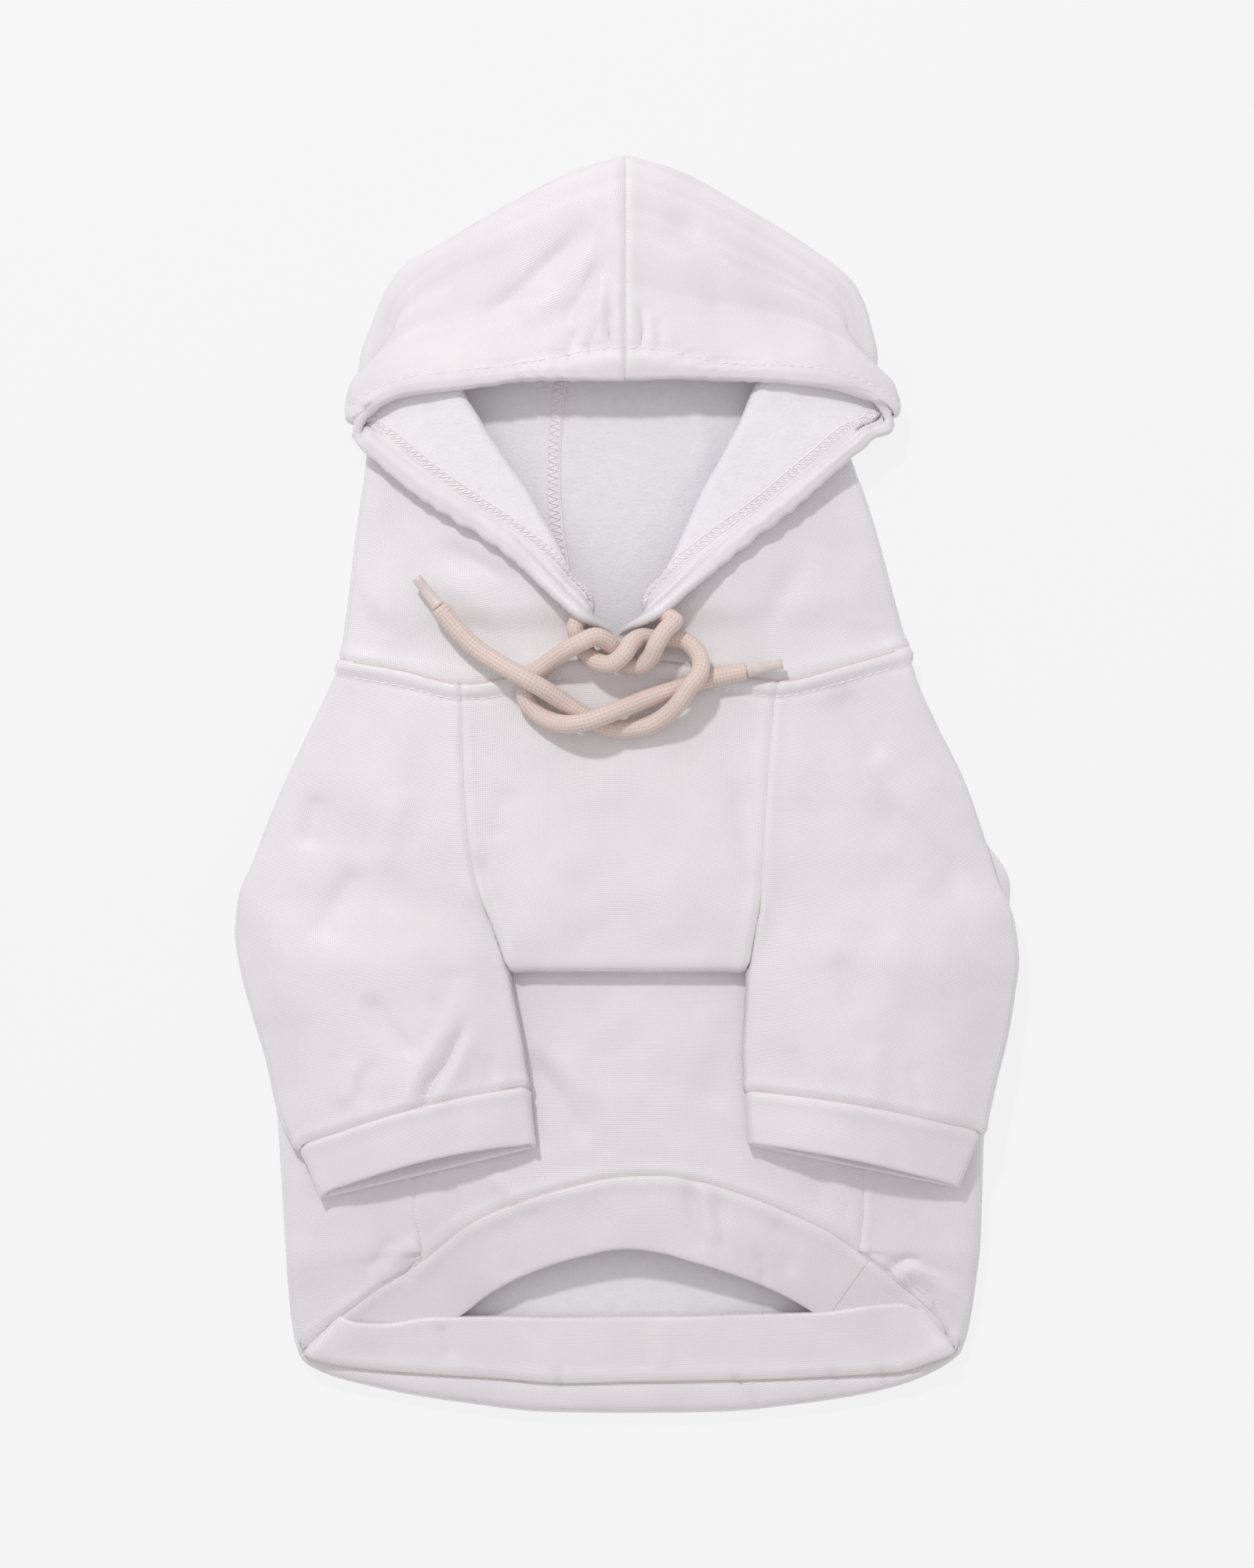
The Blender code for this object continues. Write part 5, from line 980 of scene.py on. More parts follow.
def closed_cloth(name, upper, lower, shift, far, look, ring):
    """The mesh of an upper and a lower layer with rounded rims. Its second look is the brushed inside."""
    rows, columns = upper.shape[:2]
    size = rows * columns
    index = np.arange(size).reshape(rows, columns)
    base = index if ring else index[:, :-1]
    after = np.roll(index, -1, axis=1) if ring else index[:, 1:]
    quads = np.stack((base[:-1], base[1:], after[1:], after[:-1]), axis=-1).reshape(-1, 4)
    vertices = [(upper + shift).reshape(-1, 3), (lower + shift).reshape(-1, 3)]
    faces = [quads, quads[:, ::-1] + size]
    fleecy = np.ones(len(quads), dtype=bool)
    if name in HOOD:
        # the casing is turned in, so that the knit's face shows inside up to the zigzag
        fleecy = far["stop"].ravel()[quads].mean(axis=1) > CASING_STITCH
    outer_up = CLOTH[name][0]
    looks = [not outer_up and f for f in fleecy] + [outer_up and f for f in fleecy]
    across = far["start"] - far["start"][:, columns // 2][:, None]
    spread = np.stack((across, far["first"]), axis=-1)
    uv = [spread.reshape(-1, 2)] * 2
    count = 2 * size
    for loop in edge_loops(rows, columns, ring):
        r, c = np.array(loop).T
        rim_in = -shift[r, c]
        centre, tall = (upper[r, c] + lower[r, c]) / 2, (upper[r, c] - lower[r, c]) / 2
        rings = [index[r, c]]
        for a in RIM_ANGLES:
            vertices.append(centre + tall * math.sin(a) + rim_in * (math.cos(a) - 1))
            uv.append(spread[r, c])
            rings.append(count + np.arange(len(r)))
            count += len(r)
        rings.append(index[r, c] + size)
        for a, b in zip(rings, rings[1:]):
            faces.append(np.stack((a, np.roll(a, -1), np.roll(b, -1), b), axis=-1))
            looks += [False] * len(a)
    vertices, faces, uv = (np.concatenate(lists) for lists in (vertices, faces, uv))
    made = mesh_object(name + "_cloth", vertices, faces, look, uv)
    made.data.polygons.foreach_set("material_index", np.array(looks, dtype=np.int32))
    return made


def shell(name, grid, wall, look, ring=False):
    """A closed sheet of cloth round a coarse grid, drawn finely, with rounded edges, folds and relief."""
    grid = np.asarray(grid, float)
    wall = np.broadcast_to(np.asarray(wall, float), grid.shape[:2])
    middle, wall, row, column = fine(grid, wall, ring)
    if name in HOOD:
        crown = eased((row - CROWN_ROW) / CROWN_FADE[0]) * eased((column - CROWN_COLUMN) / CROWN_FADE[1])
        middle = relaxed(middle, crown)
    far = distances(middle)
    if name.startswith(("sleeve", "cuff")):
        middle = bowed(name, middle, row, column)
    if name in NECK_COLUMNS:
        middle = met_at_neck(name, middle, column[0], far["first"])
    middle = folded(middle)
    pull, relief = sewn_edges(name, middle, wall, far)
    inside = 0
    if name in HOOD:
        channel, inside = face_edge(middle, far, row)
        relief = relief + channel
    normal = normals(middle, ring)
    outer_up = CLOTH[name][0]
    above, below = (relief, inside) if outer_up else (inside, relief)
    upper = middle + normal * (wall / 2 + above)[..., None]
    lower = middle - normal * (wall / 2 + below)[..., None]
    upper[..., 2] = np.maximum(upper[..., 2], 0.0)
    lower[..., 2] = np.maximum(lower[..., 2], 0.0)
    shift = give_way(middle, far, pull, ring)
    made = closed_cloth(name, upper, lower, shift, far, look, ring)
    upper, lower = upper + shift, lower + shift
    cells = np.cross(np.diff(middle[:, :-1], axis=0), np.diff(middle[:-1], axis=1))
    drawn[name] = {
        "object": made,
        "flat": ((far["start"] + far["stop"]).max(), (far["first"] + far["last"]).max()),
        "area": float(np.linalg.norm(cells, axis=2).sum()),
        "outer": upper if outer_up else lower,
        "inner": lower if outer_up else upper,
        "outward": normal if outer_up else -normal,
        "far": far,
    }
    return made


def mesh_object(name, vertices, faces, looks, uv=None):
    """A smooth closed mesh object with its normals outward."""
    data = bpy.data.meshes.new(name)
    data.from_pydata(np.asarray(vertices).tolist(), [], [list(f) for f in faces])
    if uv is not None:
        layer = data.uv_layers.new(name="cloth")
        corner = np.empty(len(data.loops), dtype=np.int32)
        data.loops.foreach_get("vertex_index", corner)
        layer.data.foreach_set("uv", np.asarray(uv)[corner].astype(np.float32).ravel())
    work = bmesh.new()
    work.from_mesh(data)
    bmesh.ops.recalc_face_normals(work, faces=work.faces)
    work.to_mesh(data)
    work.free()
    for look in looks:
        data.materials.append(look)
    data.shade_smooth()
    made = bpy.data.objects.new(name, data)
    bpy.context.scene.collection.objects.link(made)
    return made


def line_on(name, edge, distance, inner=False, keep=None):
    """Points and outward directions along a piece of cloth, at a distance from one of its edges."""
    piece = drawn[name]
    surface = piece["inner" if inner else "outer"]
    outward = piece["outward"] * (-1 if inner else 1)
    far = piece["far"][edge]
    if edge in ("start", "stop"):
        surface, outward, far = (np.swapaxes(a, 0, 1) for a in (surface, outward, far))
    if edge in ("last", "stop"):
        surface, outward, far = surface[::-1], outward[::-1], far[::-1]
    points, ways = [], []
    for c in range(surface.shape[1]):
        if keep is not None and not keep[0] <= c / (surface.shape[1] - 1) <= keep[1]:
            continue
        k = int(np.clip(np.searchsorted(far[:, c], distance), 1, len(far) - 1))
        t = (distance - far[k - 1, c]) / max(far[k, c] - far[k - 1, c], 1e-9)
        points.append(surface[k - 1, c] * (1 - t) + surface[k, c] * t)
        ways.append(outward[k, c])
    return np.array(points), np.array(ways)


def run_along(points):
    """How far along a line each of its points is."""
    return np.concatenate(([0.0], np.cumsum(np.linalg.norm(np.diff(points, axis=0), axis=1))))


def spaced(points, ways, step):
    """The same line with evenly spaced points."""
    run = run_along(points)
    at = np.linspace(0, run[-1], max(int(run[-1] / step), 2) + 1)
    points = np.stack([np.interp(at, run, points[:, k]) for k in range(3)], axis=1)
    ways = np.stack([np.interp(at, run, ways[:, k]) for k in range(3)], axis=1)
    return points, ways / np.linalg.norm(ways, axis=1, keepdims=True)


def tube(points, ways, radii, sides, squash=1.0):
    """Vertices and faces of a closed tube along points, with its first side towards ways."""
    points, ways = np.asarray(points), np.asarray(ways)
    forward = np.gradient(points, axis=0)
    forward /= np.linalg.norm(forward, axis=1, keepdims=True)
    side = np.cross(forward, ways)
    side /= np.linalg.norm(side, axis=1, keepdims=True)
    up = np.cross(side, forward)
    radii = np.broadcast_to(np.asarray(radii, float), (len(points), sides))
    angle = 2 * np.pi * np.arange(sides) / sides
    rings = (points[:, None] + (side[:, None] * np.cos(angle)[None, :, None]
                                + up[:, None] * (np.sin(angle) * squash)[None, :, None]) * radii[..., None])
    index = np.arange(len(points) * sides).reshape(len(points), sides)
    after = np.roll(index, -1, axis=1)
    quads = np.stack((index[:-1], after[:-1], after[1:], index[1:]), axis=-1).reshape(-1, 4)
    faces = [list(f) for f in quads] + [list(index[0][::-1]), list(index[-1])]
    return rings.reshape(-1, 3), faces


def threads(name, tubes, look):
    """One object of many short tubes."""
    vertices, faces = [], []
    count = 0
    for points, made in tubes:
        vertices.append(points)
        faces += [[v + count for v in f] for f in made]
        count += len(points)
    return mesh_object(name, np.concatenate(vertices), faces, [look])


def running_stitches(lines):
    """Short stitches along lines: each rises out of the cloth and goes back in."""
    made = []
    points_each = len(STITCH_LIFT)
    lift = np.array(STITCH_LIFT)[:, None] * THREAD
    for points, ways in lines:
        points, ways = spaced(points, ways, (STITCH + STITCH_SPACE) / points_each)
        for k in range(0, len(points) - points_each, points_each):
            way = ways[k:k + points_each]
            made.append(tube(points[k:k + points_each] + way * lift, way, THREAD / 2, THREAD_SIDES))
    return made


def zigzag_stitches(name, edge, middle, keep):
    """A zigzag between two straight rows of stitches on the cloth's inside, at a distance from an edge."""
    lanes = []
    for off in np.linspace(-0.5, 0.5, ZIGZAG_LANES) * ZIGZAG_WIDTH:
        points, ways = line_on(name, edge, middle + off, True, keep)
        lanes.append(spaced(points, ways, ZIGZAG_STEP / (ZIGZAG_LANES - 1)))
    count = min(len(points) for points, _ in lanes)
    turn = 2 * (ZIGZAG_LANES - 1)
    path, way = [], []
    for k in range(count):
        lane = min(k % turn, turn - k % turn)
        path.append(lanes[lane][0][k])
        way.append(lanes[lane][1][k])
    path, way = np.array(path), np.array(way)
    made = [tube(path + way * THREAD * ZIGZAG_LIFT, way, THREAD / 2, ZIGZAG_SIDES)]
    for points, ways in (lanes[0], lanes[-1]):
        made.append(tube((points + ways * THREAD * ROW_LIFT)[::2], ways[::2], THREAD / 2, ZIGZAG_SIDES))
    return made


def braided(name, route, look, width=CORD_DIAMETER):
    """A cord: a tube whose surface has columns of slanted stitches, and rounded ends."""
    run = run_along(route)
    slope = np.gradient(route, run, axis=0)
    at = np.linspace(0, run[-1], int(run[-1] / CORD_RINGS) + 1)
    i = np.clip(np.searchsorted(run, at) - 1, 0, len(run) - 2)
    span = (run[i + 1] - run[i])[:, None]
    t = ((at - run[i])[:, None]) / span
    line = hermite(t, span, route[i], route[i + 1], slope[i], slope[i + 1])
    angle = 2 * np.pi * np.arange(CORD_ROUND) / CORD_ROUND
    column = (angle * CORD_RIBS / (2 * np.pi))[None, :]
    rows = at[:, None] / CORD_STITCH + CORD_SLANT * np.abs((column % 1.0) - 0.5) * 2
    stitch = np.cos(2 * np.pi * rows)
    groove = np.abs(np.cos(np.pi * column))**3
    relief = CORD_RELIEF * (STITCH_SHARE * (stitch - 1) * (1 - groove) - GROOVE_SHARE * groove)
    end = np.minimum(at, run[-1] - at)[:, None]
    rounding = np.sqrt(np.clip(1 - (1 - np.clip(end / CORD_END, 0, 1))**2, 0.3, 1))
    radii = (width / 2 + relief) * (CORD_END_WIDTH + (1 - CORD_END_WIDTH) * rounding)
    vertices, faces = tube(line, twist_free(line), radii, CORD_ROUND)
    around = np.minimum(np.arange(CORD_ROUND), CORD_ROUND - np.arange(CORD_ROUND)) * CORD_RIBS / CORD_ROUND
    uv = np.stack(np.broadcast_arrays(around[None, :], rows), axis=-1).reshape(-1, 2)
    return mesh_object(name, vertices, faces, [look], uv), line


def twist_free(line):
    """Directions across a line that turn with it and don't twist."""
    forward = np.gradient(line, axis=0)
    forward /= np.linalg.norm(forward, axis=1, keepdims=True)
    up = np.array((0.0, 0.0, 1.0))
    ways = []
    for f in forward:
        up = up - f * np.dot(up, f)
        up /= np.linalg.norm(up)
        ways.append(up)
    return np.array(ways)


def cord_tip(name, route, look):
    """A crimped plastic tip in line with the cord's end: a rolled rim, a waist and a pressed, cut end."""
    way = route[-1] - route[-2]
    way /= np.linalg.norm(way)
    start = route[-1] + way * AGLET_GAP
    points = [start + way * AGLET_LENGTH * share for share, _ in TIP_PROFILE]
    radii = np.array([width for _, width in TIP_PROFILE])[:, None] * AGLET_DIAMETER / 2
    radii = np.repeat(radii, TIP_ROUND, axis=1)
    vertices, faces = tube(points, twist_free(np.array(points)), radii, TIP_ROUND, TIP_SQUASH)
    return mesh_object(name, vertices, faces, [look])


def node_look(name, colour, roughness, sheen=0.0, sheen_colour=None, coat=0.0, transmission=0.0):
    """A new look with its constant values, and its node tree and shader."""
    look = bpy.data.materials.new(name)
    look.use_nodes = True
    shader = look.node_tree.nodes["Principled BSDF"]
    shader.inputs["Base Color"].default_value = (*colour, 1.0)
    shader.inputs["Roughness"].default_value = roughness
    shader.inputs["Sheen Weight"].default_value = sheen
    shader.inputs["Sheen Roughness"].default_value = SHEEN_ROUGHNESS
    if sheen_colour:
        shader.inputs["Sheen Tint"].default_value = (*sheen_colour, 1.0)
    shader.inputs["Coat Weight"].default_value = coat
    shader.inputs["Transmission Weight"].default_value = transmission
    return look, look.node_tree, shader


def wave(tree, source, direction, period, distortion=0.0):
    """Bands across u or v with a period in metres."""
    node = tree.nodes.new("ShaderNodeTexWave")
    node.wave_type = "BANDS"
    node.bands_direction = direction
    node.wave_profile = "SIN"
    node.inputs["Scale"].default_value = math.pi / (10 * period)
    node.inputs["Distortion"].default_value = distortion
    node.inputs["Detail"].default_value = 0.0
    tree.links.new(source, node.inputs["Vector"])
    return node.outputs["Fac"]


def noise(tree, source, period, detail=2.0, roughness=0.5):
    """Soft random blotches about a period wide."""
    node = tree.nodes.new("ShaderNodeTexNoise")
    node.inputs["Scale"].default_value = 1 / period
    node.inputs["Detail"].default_value = detail
    node.inputs["Roughness"].default_value = roughness
    tree.links.new(source, node.inputs["Vector"])
    return node.outputs["Fac"]


def math_node(tree, operation, a, b):
    """One sum or product of two values or outputs."""
    node = tree.nodes.new("ShaderNodeMath")
    node.operation = operation
    for socket, value in zip(node.inputs, (a, b)):
        if isinstance(value, (int, float)):
            socket.default_value = value
        else:
            tree.links.new(value, socket)
    return node.outputs[0]


def tinted(tree, shader, fac, dark, light):
    """Colour between two close shades."""
    ramp = tree.nodes.new("ShaderNodeValToRGB")
    ramp.color_ramp.elements[0].position = 0.25
    ramp.color_ramp.elements[1].position = 0.75
    ramp.color_ramp.elements[0].color = (*dark, 1.0)
    ramp.color_ramp.elements[1].color = (*light, 1.0)
    tree.links.new(fac, ramp.inputs["Fac"])
    tree.links.new(ramp.outputs["Color"], shader.inputs["Base Color"])


def bumped(tree, shader, height, distance, strength, under=None):
    """Relief by a bump, on top of the bump under it if there is one."""
    node = tree.nodes.new("ShaderNodeBump")
    node.inputs["Distance"].default_value = distance
    node.inputs["Strength"].default_value = strength
    tree.links.new(height, node.inputs["Height"])
    if under:
        tree.links.new(under.outputs["Normal"], node.inputs["Normal"])
    tree.links.new(node.outputs["Normal"], shader.inputs["Normal"])
    return node


def shade(colour, by):
    """A colour made darker or lighter."""
    return tuple(c * by for c in colour)


def weighted(tree, *parts):
    """The sum of values, each times its weight."""
    scaled = [math_node(tree, "MULTIPLY", value, weight) for value, weight in parts]
    total = scaled[0]
    for value in scaled[1:]:
        total = math_node(tree, "ADD", total, value)
    return total


def knit_look(name="knit_face"):
    """The smooth face of the knit: fine columns and courses with a soft satin sheen."""
    look, tree, shader = node_look(name, KNIT_FACE, 0.40, sheen=0.25, sheen_colour=(0.95, 0.92, 1.0))
    shader.inputs["Specular IOR Level"].default_value = 0.75
    place = tree.nodes.new("ShaderNodeTexCoord")
    columns = wave(tree, place.outputs["UV"], "X", WALE)
    courses = wave(tree, place.outputs["UV"], "Y", COURSE)
    stitches = math_node(tree, "MULTIPLY", columns, courses)
    blotches = noise(tree, place.outputs["Object"], BLOTCH, 3.0)
    mixed = weighted(tree, (stitches, 0.45), (blotches, 0.75))
    tinted(tree, shader, mixed, shade(KNIT_FACE, 0.945), shade(KNIT_FACE, 1.04))
    slack = bumped(tree, shader, noise(tree, place.outputs["Object"], SLACK_PERIOD, 1.0), SLACK, 1.0)
    bumped(tree, shader, stitches, KNIT_RELIEF, 0.40, slack)
    return look


def fleece_look(name="fleece"):
    """The brushed inside: short matted pile."""
    look, tree, shader = node_look(name, FLEECE, 0.9, sheen=0.5, sheen_colour=(0.97, 0.97, 1.0))
    place = tree.nodes.new("ShaderNodeTexCoord")
    fine_pile = noise(tree, place.outputs["Object"], PILE, 4.0, 0.7)
    clumps = noise(tree, place.outputs["Object"], PILE_CLUMP, 3.0, 0.6)
    height = weighted(tree, (fine_pile, 0.6), (clumps, 0.5))
    tinted(tree, shader, height, shade(FLEECE, 0.94), shade(FLEECE, 1.03))
    bumped(tree, shader, height, PILE_RELIEF, 0.7)
    return look


def braid_look(name="braid"):
    """Matt yarn of the cord, a little uneven in colour."""
    look, tree, shader = node_look(name, CORD_FACE, 0.8, sheen=0.3, sheen_colour=(1.0, 0.93, 0.9))
    place = tree.nodes.new("ShaderNodeTexCoord")
    fibres = noise(tree, place.outputs["Object"], YARN_FIBRE, 3.0, 0.6)
    columns = wave(tree, place.outputs["UV"], "X", 1.0)
    stitches = wave(tree, place.outputs["UV"], "Y", 1.0)
    mixed = weighted(tree, (columns, 0.35), (stitches, 0.30), (fibres, 0.35))
    tinted(tree, shader, mixed, shade(CORD_FACE, 0.86), shade(CORD_FACE, 1.08))
    bumped(tree, shader, fibres, YARN_RELIEF, 0.4)
    return look


def tip_look(name="tip_plastic"):
    """Thin translucent plastic."""
    look, tree, shader = node_look(name, TIP_FACE, 0.28, coat=0.3, transmission=0.08)
    place = tree.nodes.new("ShaderNodeTexCoord")
    cloudy = noise(tree, place.outputs["Object"], 0.003, 2.0)
    tinted(tree, shader, cloudy, shade(TIP_FACE, 0.92), shade(TIP_FACE, 1.06))
    return look


def thread_look(name, colour):
    """Twisted sewing thread."""
    look, tree, shader = node_look(name, colour, 0.55, sheen=0.2)
    place = tree.nodes.new("ShaderNodeTexCoord")
    twist = noise(tree, place.outputs["Object"], 0.0004, 2.0)
    tinted(tree, shader, twist, shade(colour, 0.95), shade(colour, 1.02))
    return look


def add_to_scene(name, data):
    """A new object with this data, in the scene."""
    made = bpy.data.objects.new(name, data)
    bpy.context.scene.collection.objects.link(made)
    return made


def pale_floor():
    """A plain pale floor under the part."""
    x = y = FLOOR_HALF
    floor = mesh_object("floor", [(-x, -y, 0), (x, -y, 0), (x, y, 0), (-x, y, 0)], [(0, 1, 2, 3)], [])
    floor.location.z = -FLOOR_DROP
    look, _, shader = node_look("floor_paper", (FLOOR_DIFFUSE,) * 3, 0.9)
    shader.inputs["Emission Strength"].default_value = FLOOR_EMISSION
    shader.inputs["Specular IOR Level"].default_value = 0.0
    floor.data.materials.append(look)


def studio():
    """Pale floor, key light from the upper left, soft light all round, and the camera straight above."""
    pale_floor()
    light = bpy.data.lights.new("key", "AREA")
    light.shape = "DISK"
    light.size = KEY_SIZE
    light.energy = KEY_POWER
    key = add_to_scene("key", light)
    key.location = KEY_PLACE
    key.rotation_euler = (Vector((0, 0, 0)) - Vector(KEY_PLACE)).to_track_quat("-Z", "Y").to_euler()
    world = bpy.data.worlds.new("soft_room")
    world.use_nodes = True
    world.node_tree.nodes["Background"].inputs["Color"].default_value = (*ROOM_COLOUR, 1.0)
    world.node_tree.nodes["Background"].inputs["Strength"].default_value = ROOM_LIGHT
    bpy.context.scene.world = world
    lens = bpy.data.cameras.new("camera")
    lens.sensor_fit = "VERTICAL"
    lens.sensor_height = SENSOR
    lens.lens = SENSOR * CAMERA_HEIGHT / FRAME_TALL
    lens.clip_end = VIEW_END
    camera = add_to_scene("camera", lens)
    camera.location = (0, 0, CAMERA_HEIGHT)
    bpy.context.scene.camera = camera
    bpy.context.scene.view_settings.view_transform = "Standard"


def hood_rib(b, s, f, c, e, heights):
    """A rib's points: back (b), side (s), lapel's fold (f), casing (c) and face edge (e), with its folds."""
    width, lapel, turn, fold_z, casing_z, edge_z = heights
    side_z = FLOOR + width * PLEAT
    fold_z *= CROWN_HEIGHT
    casing_z *= CROWN_HEIGHT
    edge_z *= CROWN_HEIGHT
    r1 = (side_z - FLOOR) / 2
    r2 = LAPEL_FOLD / 2
    spread = CREASE_SPREAD * LAPEL_FOLD
    path = []
    # floor
    out = (s - b) / max(np.linalg.norm(s - b), 1e-6)
    s_in = s - out * r1
    for t in np.linspace(0, 1, 5):
        path.append((*(b + (s_in - b) * t), FLOOR))
    # side fold
    for a in FOLD_ANGLES:
        path.append((*(s_in + out * r1 * math.sin(a)), FLOOR + r1 * (1 - math.cos(a))))
    # front, up to the lapel's fold
    into = (f - s) / np.linalg.norm(f - s)
    f_in = f - into * r2 * lapel
    for t in np.linspace(0, 1, 5):
        rise = 1 - (1 - t)**FRONT_POWER
        path.append((*(s_in + (f_in - s_in) * t), side_z + (fold_z - side_z) * rise))
    # lapel's fold
    lapel_z = fold_z + 2 * r2 * lapel
    for a in FOLD_ANGLES:
        p = f_in + into * (r2 * math.sin(a) * lapel + spread * a / math.pi * (1 - lapel))
        path.append((*p, fold_z + (lapel_z - fold_z) * (1 - math.cos(a)) / 2))
    # lapel, out to the casing
    away = (c - f) / np.linalg.norm(c - f)
    c_in = c - away * r2 * turn
    start = f_in + away * spread * CREASE_STEP * (1 - lapel)
    for t in np.linspace(0, 1, 4):
        path.append((*(start + (c_in - start) * t), lapel_z + (casing_z - lapel_z) * t))
    # casing's turn
    turn_z = casing_z + 2 * r2 * turn
    onward = (e - c) / np.linalg.norm(e - c)
    for a in FOLD_ANGLES:
        p = c_in + away * r2 * math.sin(a) * turn + onward * spread * a / math.pi * (1 - turn)
        path.append((*p, casing_z + (turn_z - casing_z) * (1 - math.cos(a)) / 2))
    # on to the face edge
    start = c_in + onward * spread * CREASE_STEP * (1 - turn)
    for t in np.linspace(0, 1, 4):
        path.append((*(start + (e - start) * t), turn_z + (edge_z - turn_z) * t))
    return np.array(path)


def onto_neck(path):
    """Gives the hood's first rib the neck seam's own curve and height on the front."""
    for k in range(8, len(path)):
        x = path[k][0]
        path[k][1] = neck_seam_y(x) + NECK_GAP
        path[k][2] = chest_z(x, 0.0)
    corner_y = max(path[8][1], NECK_Y + SEAM_GAP) + SEAM_GAP
    path[:5, 1] = NECK_Y + SEAM_GAP
    path[5:9, 1] = corner_y


def hood_half(name, ribs, side, look):
    """One half of the hood as a grid: a rib for each row, from the centre seam to the face edge."""
    grid = []
    walls = []
    gap = side * SEAM_GAP / 2
    tip = hood_x(TIP_SEAM) + 2 * gap
    for n, (rib, heights) in enumerate(zip(ribs, HOOD_HEIGHTS)):
        back = rib[0]
        b = np.array((hood_x(smooth(BACK_SEAM["up"], BACK_SEAM["x"], back)) + gap, up(back)))
        s, f, c, e = (np.array((hood_x(x), up(y))) for x, y in zip(rib[1::2], rib[2::2]))
        if n < TIP_RIBS:
            e[0] = max(e[0], tip) if side > 0 else min(e[0], tip)
        if n == len(ribs) - 1:
            b[0] += 2 * gap
            s[0] = f[0] = c[0] = e[0] = b[0]
        path = hood_rib(b, s, f, c, e, heights)
        if n == 0:
            onto_neck(path)
        grid.append(path)
        thick = np.full(len(path), WALL)
        if n >= TIP_RIBS:
            thick[-len(CASING_PROFILE):] += (CASING_WALL - WALL) * np.array(CASING_PROFILE)
        walls.append(thick)
    return shell(name, grid, np.array(walls), look)


def back_wrap(side, share):
    """A row of the back from its wrap's end out to the side fold, and down round it: points (x, z)."""
    edge = body_x(body_at("left" if side < 0 else "right", share))
    end = body_x(body_at("wrap_left" if side < 0 else "wrap_right", share))
    curl = body_at("curl", share)
    radius = side_fold(share)
    corner = edge - side * radius
    end -= side * SEAM_GAP / 2 * (1 - curl)
    r = PLEAT / 2
    points = []
    for a in (0.0, 45.0):
        rad = math.radians(90 - a)
        x = end + side * r * curl - side * r * curl * math.sin(rad)
        x += side * r * (a / 60) * (1 - curl)
        lift = (r * (1 - math.cos(rad)) - PLEAT_GAP / 2 * math.sin(rad)) * curl
        points.append((x, belly_z(x, share) + lift))
    start = end + side * r * (curl + 1.5 * (1 - curl))
    for t in (0.0, 0.33, 0.67, 1.0):
        x = start + (corner - start) * t
        z = belly_z(x, share) if t < 1 else FLOOR + 2 * radius
        points.append((x, z))
    for a in FOLD_ANGLES:
        points.append((corner + side * radius * math.sin(a), FLOOR + radius * (1 + math.cos(a))))
    return points, corner


def hem_on_floor(x, y):
    """From a point of the back's last level row, on the floor, down to the hem and up round its roll."""
    r = HEM_ROLL
    share_x = max(min(x / (BODY_WIDTH / 2), HEM_FLOOR_ENDS[1]), HEM_FLOOR_ENDS[0])
    bottom = down(hem_at(HEM_ROLL_LINE, share_x)) + WALL / 2
    seam = down(hem_at(HEM_SEAM, share_x)) - SEAM_GAP
    line = []
    for t in (0.4, 0.8, 1.0):
        line.append((body_x(share_x) * t + x * (1 - t), y + (bottom + r - y) * t, FLOOR))
    for a in (50, 95, 140):
        rad = math.radians(a)
        line.append((body_x(share_x), bottom + r - r * math.sin(rad), FLOOR + r * (1 - math.cos(rad))))
    line.append((body_x(share_x), max(seam, bottom + r), FLOOR + 2 * r))
    return line


def hem_on_top(x, y, z):
    """From a point of the same row, on the belly side, down to the hem's arc."""
    side = -1 if x < 0 else 1
    share_x = min(abs(x / (BODY_WIDTH / 2)), HEM_TOP_ENDS[1 if side > 0 else 0]) * side
    end = hem_at(HEM_ARC, share_x)
    line = []
    for t in np.linspace(1 / HEM_STEPS, 1, HEM_STEPS):
        x_t = x + (body_x(share_x) - x) * t
        share = down_share(y) + (end - down_share(y)) * t
        z_t = z + (belly_z(x_t, share) - z) * min(3 * t, 1.0)
        line.append((x_t, down(share) + SEAM_GAP * t, z_t))
    return line


def back_panel(look):
    """The back: flat on the floor, wrapped up round both sides, and rolled up along the hem."""
    grid = []
    for share in BODY["down"]:
        left, corner_left = back_wrap(-1, share)
        right, corner_right = back_wrap(1, share)
        flat = [(x, FLOOR) for x in np.linspace(corner_left, corner_right, 9)]
        y = down(share) - (SEAM_GAP if share == 0 else 0)
        grid.append([(x, y, z) for x, z in left + flat + right[::-1]])
    last = np.array(grid[-1])
    # a row's points from each end: those on top, then three round the side fold, then those on the floor
    count = len(last)
    top = 6
    turned = 9
    hem = [[None] * count for _ in range(HEM_STEPS)]
    for j in range(count):
        if turned <= j < count - turned:
            line = hem_on_floor(*last[j][:2])
        elif j < top or j >= count - top:
            line = hem_on_top(*last[j])
        else:
            continue
        for m in range(HEM_STEPS):
            hem[m][j] = line[m]
    for row in hem:
        for side, start, step in ((-1, turned, -1), (1, count - turned - 1, 1)):
            low = np.array(row[start])
            high = np.array(row[start + 4 * step])
            for k in (1, 2, 3):
                rad = math.radians(45 * k)
                p = low + (high - low) * (1 - math.cos(rad)) / 2
                p[0] += side * max(abs(high[2] - low[2]) / 2, HEM_FOLD_LEAST) * math.sin(rad)
                row[start + k * step] = tuple(p)
        grid.append(row)
    return shell("back_panel", grid, WALL, look)


